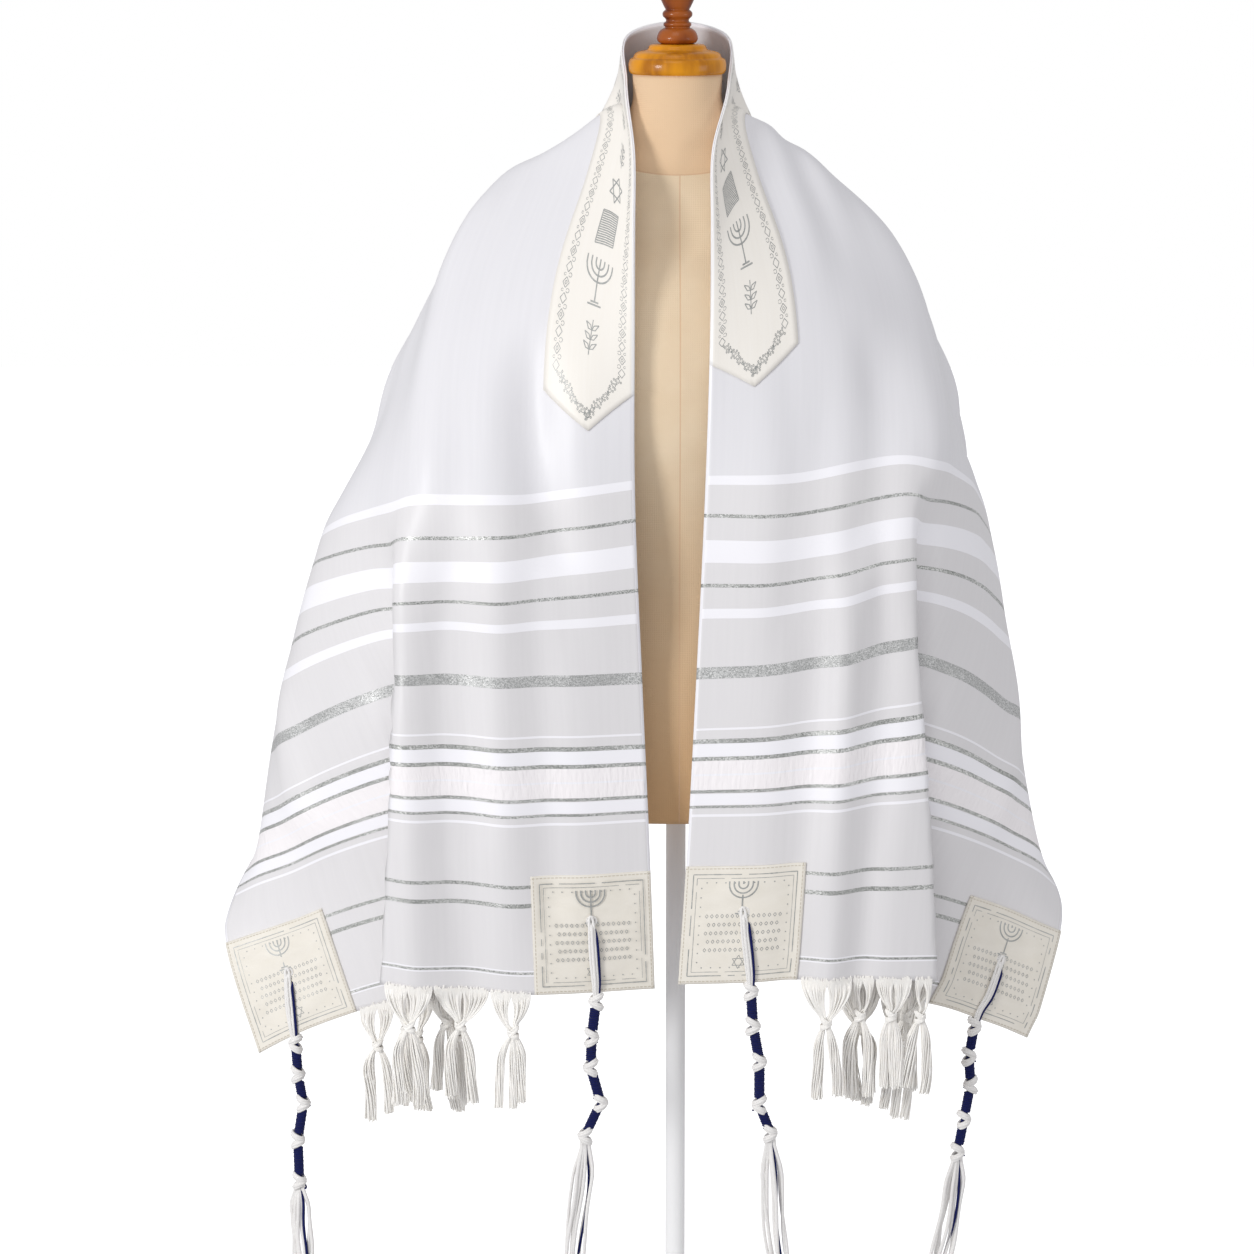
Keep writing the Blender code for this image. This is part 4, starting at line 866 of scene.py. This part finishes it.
BAND_REACH = 0.30
for side in ("left", "right"):
    def to_band(right, up, side=side):
        """Point on one front end of the neckband, up from its tip, with right as a viewer sees it."""
        across = right if side == "right" else BAND_WIDTH - right
        from_hem = BAND_ENDS[side]["tip"] + up
        return on_cloth(from_hem if side == "left" else CLOTH_LENGTH - from_hem, across, lift=PRINT_LIFT)

    middle = BAND_WIDTH / 2
    rise = BAND_ENDS[side]["corner"] - BAND_ENDS[side]["tip"]
    random.seed("band" + side)
    strokes = []
    # Border: lozenges with a small one inside or a curl between, down both edges
    for k in range(37):
        level = rise + 0.016 + 0.0108 * k
        for x, sign in ((0.0112, 1), (BAND_WIDTH - 0.0112, -1)):
            place = (x + random.uniform(-0.2, 0.2) * MM, level)
            strokes += [(stroke, 0.55 * MM) for stroke in diamond(place, 3.0 * MM, 3.7 * MM)]
            if k % 2:
                strokes += [(stroke, 0.45 * MM) for stroke in diamond(place, 1.1 * MM, 1.5 * MM)]
            strokes.append((arc((x + sign * 2.6 * MM, level + 5.4 * MM), 1.5 * MM, 200, 520, 8), 0.45 * MM))
            strokes.append((arc((x - sign * 2.4 * MM, level + 5.4 * MM), 1.0 * MM, 20, 340, 7), 0.4 * MM))
    # Garland: curls with buds up both sides of the point
    for sign in (-1, 1):
        for k in range(8):
            share = k / 8
            x = middle + sign * (0.0005 + 0.0285 * share)
            level = 0.0120 + (rise + 0.0015) * share
            turn = 40 * k if sign > 0 else 180 - 40 * k
            strokes.append((arc((x, level), 1.9 * MM, turn, turn + 290, 9), 0.6 * MM))
            strokes.append((arc((x, level), 0.9 * MM, turn + 180, turn + 430, 6), 0.5 * MM))
            for bud in (60, 150, 240):
                angle = math.radians(turn + bud)
                place = (x + 3.3 * MM * math.cos(angle), level + 3.3 * MM * math.sin(angle))
                strokes += [(stroke, 0.5 * MM) for stroke in diamond(place, 0.7 * MM, 1.0 * MM)]
    strokes += [(stroke, 0.8 * MM) for stroke in sprig((middle, 0.068), 25 * MM, 0.08)]
    strokes += [(stroke, 1.3 * MM) for stroke in lampstand((middle, 0.108), 0.030)]
    # Hatched panel, then a star between two sprigs
    panel = [(middle - 0.0105, 0.133), (middle + 0.0105, 0.137), (middle + 0.0105, 0.162),
             (middle - 0.0105, 0.158)]
    strokes += [(stroke, 0.9 * MM) for stroke in polygon_strokes(panel)]
    for k in range(14):
        level = 0.1348 + 0.0017 * k
        strokes.append(([Vector((middle - 0.0100, level)), Vector((middle, level + 0.0019)),
                         Vector((middle + 0.0100, level + 0.0038))], 0.95 * MM))
    strokes += [(stroke, 1.2 * MM) for stroke in star((middle, 0.1790), 0.0110)]
    for k in range(5):
        strokes += [(stroke, 0.8 * MM) for stroke in sprig((middle, 0.212 + 0.040 * k), 24 * MM)]
    print_piece("band_print_" + side, strokes, to_band, "ivory_satin")

# Fringe
# The cloth's own warp ends, left loose below the hem and tied in bunches with one overhand knot,
# so each bunch spreads above and below its knot.

FRINGE_STRIPS = (
    ("fringe_left_front", "left", ((0.111, 0.148), (0.149, 0.198), (0.199, 0.243))),
    ("fringe_left_fold", "left", ((0.254, 0.288), (0.289, 0.323))),
    ("fringe_left_side", "left", ((0.338, 0.374), (0.375, 0.412), (0.413, 0.449))),
    ("fringe_right_front", "right", ((0.111, 0.158), (0.159, 0.178), (0.179, 0.212), (0.215, 0.231))),
    ("fringe_right_fold", "right", ((0.244, 0.286), (0.287, 0.330))),
    ("fringe_right_side", "right", ((0.366, 0.406), (0.407, 0.449))),
)
YARN_RADIUS = 0.68 * MM
KNOT_DROP = 0.034
TAIL_LENGTH = 0.070
# Soft twisted yarn scatters the light, so it looks matt and warm white, with a faint twist
fringe_yarn = new_material("twisted_warp_yarn", "#F7F2EA", 0.8, Sheen_Weight=0.4, Sheen_Roughness=0.5)
yarn_place = add(fringe_yarn, "ShaderNodeTexCoord", give="Object")
yarn_shade = add(fringe_yarn, "ShaderNodeTexNoise", {"Vector": yarn_place, "Scale": 1 / (7 * MM),
                                                     "Detail": 3.0})
yarn_tint = add(fringe_yarn, "ShaderNodeMix", {"Factor": yarn_shade, "A": linear("#FDF9F2"),
                                               "B": linear("#FFFEFB")}, data_type="RGBA")
feed(fringe_yarn, "Base Color", yarn_tint)
yarn_twist = add(fringe_yarn, "ShaderNodeTexNoise", {"Vector": yarn_place, "Scale": 1 / (0.9 * MM),
                                                     "Detail": 2.0})
yarn_bump = add(fringe_yarn, "ShaderNodeBump", {"Height": yarn_twist, "Strength": 0.5,
                                                "Distance": 0.3 * MM})
feed(fringe_yarn, "Normal", yarn_bump)


def strand_piece(name, lines, radius, material, slot, *nodes):
    """One piece of many round strands, each a smooth line of points with a share of the radius."""
    curve = bpy.data.curves.new(name, "CURVE")
    curve.dimensions = "3D"
    curve.bevel_depth = radius
    curve.bevel_resolution = 1
    curve.use_fill_caps = True
    for line, share in lines:
        spline = curve.splines.new("POLY")
        spline.points.add(len(line) - 1)
        for point, place in zip(spline.points, line):
            point.co = (*place, 1.0)
            point.radius = share
        spline.use_smooth = True
    curve.materials.append(material)
    piece = bpy.data.objects.new(name, curve)
    bpy.context.scene.collection.objects.link(piece)
    if nodes:
        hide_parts(*nodes)
    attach(piece, "root")
    return piece


def bezier(points, steps):
    """A smooth line through the points, as even steps of its knots."""
    table = np.array([tuple(point) for point in points])
    knots = np.concatenate(([0.0], np.cumsum(np.linalg.norm(np.diff(table, axis=0), axis=1) + 1e-9)))
    return [Vector(place) for place in smooth_line(knots, table, np.linspace(0, knots[-1], steps))]


DOWN = Vector((0.0, 0.0, -1.0))
ROOT_PITCH = 1.0 * MM
LOCK_YARNS = 22
FULL_TURN = 6.28
# Each yarn of a lock lies a golden angle on from the last, so they fill its round section evenly
GOLDEN_ANGLE = 2.399963


def lying(hem, place, half_width=0.004):
    """Unit directions along the hem and out of the cloth, both level, at a place across the cloth."""
    across = on_cloth(hem, place + half_width) - on_cloth(hem, place - half_width)
    across = Vector((across.x, across.y, 0.0)).normalized()
    facing = DOWN.cross(across)
    inward = on_cloth(hem, place) - on_cloth(hem, place, lift=1.0)
    return across, -facing if facing.dot(inward) > 0 else facing


def bunch_lines(hem, start, end):
    """Yarns of one bunch: two halves that meet in a knot round an open lens, and two or three tails."""
    middle = (start + end) / 2
    across, facing = lying(hem, middle, (end - start) / 2)
    half_width = (end - start) / 2
    centre = on_cloth(hem, middle)
    drop = KNOT_DROP * random.uniform(0.88, 1.16)
    knot = centre + DOWN * drop + across * random.uniform(-3, 3) * MM
    count = max(14, round((end - start) / ROOT_PITCH))
    lens = random.uniform(1.2, 3.4) * MM
    lines = []
    for k in range(count):
        share = 2 * (k + 0.5) / count - 1
        half = -1 if share < 0 else 1
        depth = facing * random.uniform(-1.5, 1.5) * MM
        root = on_cloth(hem, middle + half_width * share * 0.99)
        level = root.z - centre.z
        fray = random.uniform(0.5, 4.0) * MM
        route = [root - DOWN * fray + facing * 0.9 * MM, root + DOWN * 1.5 * MM + facing * 0.8 * MM]
        for part, inner, outer in ((0.34, 0.9, 0.86), (0.62, 1.0, 0.62), (0.84, 0.62, 0.34)):
            offset = half * lens * inner * (1 - abs(share)) + share * half_width * outer
            route.append(centre + DOWN * (drop * part - level * (1 - part)) + across * offset + depth)
        route.append(knot + across * share * 3.6 * MM + depth * 0.9)
        route.append(knot + DOWN * 5 * MM + across * share * -2.4 * MM + depth * 0.9)
        lines.append((bezier(route, 13), 1.0))
    for tilt, level in ((0.62, 1.0), (-0.55, 3.6)):
        turn = random.uniform(0, FULL_TURN)
        for k in range(6):
            loop = []
            for step in range(17):
                angle = turn + 2 * math.pi * 1.08 * step / 16
                size = 1 + 0.12 * math.sin(2 * angle + k)
                loop.append(knot + DOWN * (level + (k - 2.5) * 0.8 + tilt * 4.4 * math.cos(angle)) * MM
                            + across * 4.5 * size * math.cos(angle) * MM
                            + facing * 3.9 * size * math.sin(angle) * MM)
            lines.append((loop, 1.15))
    locks = random.choice((2, 2, 2, 3))
    for lock in range(locks):
        side_step = (lock - (locks - 1) / 2) * 2 / (locks - 1)
        spread = side_step * random.uniform(4.5, 9.0)
        drift = random.uniform(-5, 5)
        sway = random.uniform(-2.2, 2.2)
        lag = random.uniform(0, FULL_TURN)
        length = TAIL_LENGTH * random.uniform(0.84, 1.06)
        width = random.uniform(4.3, 5.6) * (0.8 if locks == 3 else 1.0)
        for k in range(LOCK_YARNS):
            angle = k * GOLDEN_ANGLE
            ring = math.sqrt((k + 0.5) / LOCK_YARNS)
            reach = length * random.uniform(0.95, 1.0)
            own = random.uniform(0, FULL_TURN)
            tail = []
            for step in range(13):
                part = step / 12
                opened = 1 - (1 - min(part * 2.6, 1.0)) ** 2
                radius = (1.3 + (width - 1.3) * opened) * (1 + 0.16 * part) * ring
                turn = angle + 1.5 * part
                right = (side_step * 1.6 + spread * opened + drift * part ** 1.6
                         + sway * math.sin(5.2 * part + lag) * part ** 0.5 + radius * math.cos(turn)
                         + 0.2 * math.sin(7 * part + own))
                out = 0.62 * radius * math.sin(turn) + 0.2 * math.cos(6 * part + own) + 0.9 * side_step
                tail.append(knot + DOWN * (4.5 * MM + reach * part) + across * right * MM + facing * out * MM)
            lines.append((tail, 1.0))
    return lines


random.seed(7)
for name, side, bunches in FRINGE_STRIPS:
    lines = []
    for start, end in bunches:
        lines += bunch_lines(0.0 if side == "left" else CLOTH_LENGTH, start, end)
    strand_piece("yarns_" + name, lines, YARN_RADIUS, fringe_yarn, "fringe_yarn", name)

# Corner tassels
# White wool cords and one navy cord, passed through the eyelet as a loop, tied at the hem, then
# wound with the navy cord between five double knots. The rest of the cords hang loose.

# Columns: name, side, height of the eyelet above the hem, its distance across, where the cord
# crosses the hem, the five knots as sideways shift and drop in millimetres, the shift of the ends
TASSELS = (
    ("tassel_inner_left", "left", 0.066, 0.055, 0.053,
     ((0, 0), (-4, 33), (-5, 61), (4, 94), (-10, 124)), -20),
    ("tassel_outer_left", "left", 0.060, 0.505, 0.519,
     ((0, 0), (2, 29), (7, 56), (1, 91), (2, 130)), 4),
    ("tassel_inner_right", "right", 0.066, 0.055, 0.066,
     ((0, 0), (2, 32), (8, 65), (8, 105), (18, 131)), 14),
    ("tassel_outer_right", "right", 0.060, 0.505, 0.501,
     ((0, 0), (-5, 28), (-3, 55), (-9, 87), (-15, 117)), -26),
)
CORD_RADIUS = 1.4 * MM
NAVY_RADIUS = 0.95 * MM
WINDING_HALF_WIDTH = 4.0 * MM
WINDING_HALF_DEPTH = 3.0 * MM
TAIL_END_HEIGHT = 0.060
HEM_CLEARANCE = 0.004


def wool_cord(name, base, dark, light):
    """Twisted wool: fibres scatter the light, and the ply shows as fine slanted ridges."""
    wool = new_material(name, base, 0.9, Sheen_Weight=0.12, Sheen_Roughness=0.5, Specular_IOR_Level=0.2)
    place = add(wool, "ShaderNodeTexCoord", give="Object")
    ply = add(wool, "ShaderNodeTexNoise", {"Vector": place, "Scale": 1 / (1.2 * MM), "Detail": 3.0})
    tint = add(wool, "ShaderNodeMix", {"Factor": ply, "A": linear(dark), "B": linear(light)},
               data_type="RGBA")
    feed(wool, "Base Color", tint)
    bump = add(wool, "ShaderNodeBump", {"Height": ply, "Strength": 0.6, "Distance": 0.4 * MM})
    feed(wool, "Normal", bump)
    return wool


white_wool = wool_cord("white_wool_cord", "#F4F2F0", "#E8E5E2", "#FDFCFA")
navy_wool = wool_cord("navy_wool_cord", "#0A1350", "#060B36", "#111D66")


def turn_round(centre, across, facing, widths, tilt, level, turn, turns=1.08, steps=20):
    """A cord that goes round a stem: its centre, half-width and half-depth, tilt and level down."""
    loop = []
    for step in range(steps + 1):
        angle = turn + 2 * math.pi * turns * step / steps
        loop.append(centre + DOWN * (level + tilt * math.cos(angle)) + across * widths[0] * math.cos(angle)
                    + facing * widths[1] * math.sin(angle))
    return loop


for name, side, eyelet_height, eyelet_across, hem_across, knots, end_shift in TASSELS:
    random.seed(name)
    hem = 0.0 if side == "left" else CLOTH_LENGTH
    inward = 1 if side == "left" else -1
    across, facing = lying(hem, hem_across)
    if across.x < 0:
        across = -across
    if facing.y > 0:
        facing = -facing
    start = on_cloth(hem, hem_across) + DOWN * HEM_CLEARANCE
    centres = [start + across * shift * MM + DOWN * (drop + 4) * MM for shift, drop in knots]
    white_lines = []
    navy_lines = []
    eyelet_along = hem + inward * eyelet_height

    def beside_loop(part, lift):
        """Point on the way from the eyelet to the hem, lifted off the cloth."""
        return on_cloth(eyelet_along + (hem - eyelet_along) * part,
                        eyelet_across + (hem_across - eyelet_across) * part, lift=lift)

    def riding(part, offset, high=0.0):
        """Point of a cord that lies on the patch, off the loop's middle, narrower near its ends."""
        arch = math.sin(math.pi * max(part, 0.0))
        lift = PRINT_LIFT + (1.5 + high + 1.4 * arch) * MM
        return beside_loop(part, lift) + across * offset * (0.72 + 0.28 * arch) * MM

    # The front of the loop: a white cord doubled over the eyelet, one more on it, the navy at the right
    ways = (0.9, 0.6, 0.3, 0.1)
    doubled = [centres[0] - across * 1.7 * MM + facing * 1.5 * MM]
    doubled += [riding(part, -3.4 + random.uniform(-0.3, 0.3)) for part in ways]
    doubled += [riding(-0.05, -2.6), riding(-0.09, -0.9), riding(-0.05, 0.8)]
    doubled += [riding(part, 1.5 + random.uniform(-0.3, 0.3)) for part in reversed(ways)]
    doubled.append(centres[0] + across * 0.7 * MM + facing * 1.5 * MM)
    white_lines.append((bezier(doubled, 44), 1.0))
    second = [beside_loop(0.02, TRIM_BASE) - across * 0.9 * MM, riding(0.06, -0.9, 0.2)]
    second += [riding(part, -1.0, 0.9) for part in (0.3, 0.6, 0.9)]
    second.append(centres[0] - across * 0.5 * MM + facing * 1.8 * MM)
    white_lines.append((bezier(second, 20), 1.0))
    navy = [beside_loop(0.12, TRIM_BASE) + across * 2.6 * MM]
    navy += [riding(part, 3.9) for part in (0.22, 0.4, 0.65, 0.9)]
    navy.append(centres[0] + across * 1.8 * MM + facing * 1.4 * MM)
    navy_lines.append((bezier(navy, 18), 1.4))
    # The eyelet's worked edge
    for step in range(2):
        ring = [on_cloth(eyelet_along + (4.6 - step) * MM * math.sin(angle), eyelet_across
                         + (4.6 - step) * MM * math.cos(angle), lift=PRINT_LIFT + 0.5 * MM)
                for angle in np.linspace(0, 2 * math.pi, 19)]
        white_lines.append((ring, 0.35))
    # The back of the loop, behind the cloth
    for offset in (-1.8, 0.3, 2.2):
        route = [beside_loop(part, -CLOTH_WALL / 2 - 1.5 * MM) + across * offset * MM
                 for part in (0.0, 0.3, 0.6, 0.95)]
        route.append(centres[0] + across * offset * 0.5 * MM)
        white_lines.append((bezier(route, 14), 1.0))
    # Double knots: two slanting lobes of three cords, with a glimpse of the navy one
    for centre in centres:
        slant = random.choice((-1, 1))
        for lobe, lean in ((-3.2, slant), (3.4, -slant)):
            turn = random.uniform(0, 2 * math.pi)
            for strand in (-1, 0, 1):
                bulge = 1.0 - 0.13 * abs(strand) + random.uniform(-0.05, 0.05)
                loop = turn_round(centre, across, facing, (5.6 * bulge * MM, 5.0 * bulge * MM),
                                  lean * 2.7 * MM, (lobe + 2.1 * strand) * MM, turn + strand * 0.5)
                white_lines.append((loop, 1.0 + 0.12 * (strand == 0)))
        turn = random.uniform(3.4, 5.4)
        glimpse = turn_round(centre, across, facing, (6.2 * MM, 5.8 * MM), slant * 4.8 * MM,
                             random.uniform(-1.5, 2.0) * MM, turn, turns=0.2, steps=7)
        navy_lines.append((glimpse, 1.0))
    # Windings of the navy cord between the knots, with a white cord that shows through here and there
    for above, below in zip(centres, centres[1:]):
        axis = below - above
        gap = 6.4 * MM
        length = axis.length - 2 * gap
        onward = axis.normalized()
        turns = max(3, round(length / (1.9 * NAVY_RADIUS)))
        navy_lines.append((bezier([above, above.lerp(below, 0.5), below], 5), 2.6 * MM / NAVY_RADIUS))
        helix = []
        for step in range(turns * 12 + 1):
            angle = 2 * math.pi * step / 12
            swell = 1 + 0.04 * math.sin(step * 0.21)
            helix.append(above + onward * (gap + length * step / (turns * 12))
                         + across * WINDING_HALF_WIDTH * swell * math.cos(angle)
                         + facing * WINDING_HALF_DEPTH * swell * math.sin(angle))
        navy_lines.append((helix, 1.0))
        if random.random() < 0.6:
            centre = above.lerp(below, random.uniform(0.42, 0.62))
            widths = (WINDING_HALF_WIDTH + 0.9 * MM, WINDING_HALF_DEPTH + 0.9 * MM)
            tick = turn_round(centre, across, facing, widths, 0.4 * MM, 0.0,
                              random.uniform(4.2, 4.8), turns=0.09, steps=4)
            white_lines.append((tick, 0.5))
    # The loose ends
    last = centres[-1]
    length = last.z - TAIL_END_HEIGHT
    for k in range(8):
        wave = random.uniform(0, FULL_TURN)
        reach = length * random.uniform(0.95, 1.0)
        bow = random.uniform(-2.0, 2.0)
        depth = random.uniform(-2.8, 2.8)
        tail = []
        for step in range(21):
            part = step / 20
            opening = float(ramp(part, 0.0, 0.20))
            spacing = 0.9 + 1.8 * opening - 0.45 * float(ramp(part, 0.45, 1.0))
            right = ((k - 3.5) * spacing + end_shift * part ** 1.4 + bow * math.sin(math.pi * part)
                     + 1.7 * math.sin(10 * part + wave) * part ** 0.5)
            out = depth * opening + 0.9 * math.sin(9 * part + wave) * part
            tail.append(last + DOWN * (4 * MM + (reach - 4 * MM) * part) + across * right * MM
                        + facing * out * MM)
        if k == 5:
            navy_lines.append((tail, 1.4))
        else:
            white_lines.append((tail, 1.25))
    strand_piece("cords_" + name, white_lines, CORD_RADIUS, white_wool, "tassel_cord", name)
    strand_piece("navy_cord_" + name, navy_lines, NAVY_RADIUS, navy_wool, "tassel_cord")

# Room, light and camera

floor_body = bmesh.new()
bmesh.ops.create_grid(floor_body, x_segments=1, y_segments=1, size=8.0)
bmesh.ops.translate(floor_body, verts=floor_body.verts, vec=(0.0, 0.0, -0.0005))
floor_mesh = bpy.data.meshes.new("studio_floor")
floor_body.to_mesh(floor_mesh)
floor_body.free()
paper = new_material("white_background_paper", "#FAFAFA", 0.9, Specular_IOR_Level=0.1,
                     Emission_Color=(1.0, 1.0, 1.0, 1.0), Emission_Strength=0.75)
paper_fibre = add(paper, "ShaderNodeTexNoise", {"Vector": add(paper, "ShaderNodeTexCoord", give="Object"),
                                                "Scale": 200.0})
feed(paper, "Normal", add(paper, "ShaderNodeBump", {"Height": paper_fibre, "Strength": 0.02,
                                                    "Distance": 0.1 * MM}))
floor_mesh.materials.append(paper)
floor = bpy.data.objects.new("studio_floor", floor_mesh)
bpy.context.scene.collection.objects.link(floor)
floor.visible_diffuse = False
floor.visible_glossy = False

# The sky lights the shawl softly from all round, and shows as white paper behind it
world = bpy.data.worlds.new("soft_studio")
world.use_nodes = True
sky = world.node_tree
sky_light = sky.nodes["Background"]
sky_light.inputs["Strength"].default_value = 0.55
sky_paper = sky.nodes.new("ShaderNodeBackground")
sky_paper.inputs["Color"].default_value = (1.0, 1.0, 1.0, 1.0)
sky_light.inputs["Color"].default_value = (0.97, 0.97, 1.0, 1.0)
rays = sky.nodes.new("ShaderNodeLightPath")
choice = sky.nodes.new("ShaderNodeMixShader")
sky.links.new(rays.outputs["Is Camera Ray"], choice.inputs[0])
sky.links.new(sky_light.outputs[0], choice.inputs[1])
sky.links.new(sky_paper.outputs[0], choice.inputs[2])
sky.links.new(choice.outputs[0], sky.nodes["World Output"].inputs["Surface"])
bpy.context.scene.world = world


def softbox(name, place, aim, size, power):
    """A square area light that faces a point."""
    light = bpy.data.lights.new(name, "AREA")
    light.size = size
    light.energy = power
    item = bpy.data.objects.new(name, light)
    item.location = place
    item.rotation_euler = (Vector(aim) - Vector(place)).to_track_quat("-Z", "Y").to_euler()
    bpy.context.scene.collection.objects.link(item)


OBJECT_MIDDLE = (0.0, 0.0, 0.75)
softbox("softbox_left", (-2.7, -2.6, 1.3), OBJECT_MIDDLE, 0.9, 61)
softbox("softbox_right", (2.9, -1.5, 0.9), OBJECT_MIDDLE, 1.2, 11)
softbox("softbox_top", (-0.4, -1.5, 3.1), (0.0, 0.0, 1.0), 1.4, 10)

PHOTO_SIDE = 1254
METRES_PER_PIXEL = 0.00091
CAMERA_DISTANCE = 3.9
CAMERA_ELEVATION = math.radians(10)
CAMERA_TARGET = Vector((-0.0448, 0.0, 0.68))
camera_data = bpy.data.cameras.new("photo_camera")
camera_data.sensor_width = 36.0
camera_data.lens = 36.0 * CAMERA_DISTANCE / (PHOTO_SIDE * METRES_PER_PIXEL)
camera = bpy.data.objects.new("photo_camera", camera_data)
back = Vector((0.0, -math.cos(CAMERA_ELEVATION), math.sin(CAMERA_ELEVATION)))
camera.location = CAMERA_TARGET + back * CAMERA_DISTANCE
camera.rotation_euler = (math.pi / 2 - CAMERA_ELEVATION, 0.0, 0.0)
bpy.context.scene.collection.objects.link(camera)
bpy.context.scene.camera = camera
bpy.context.scene.view_settings.view_transform = "Standard"
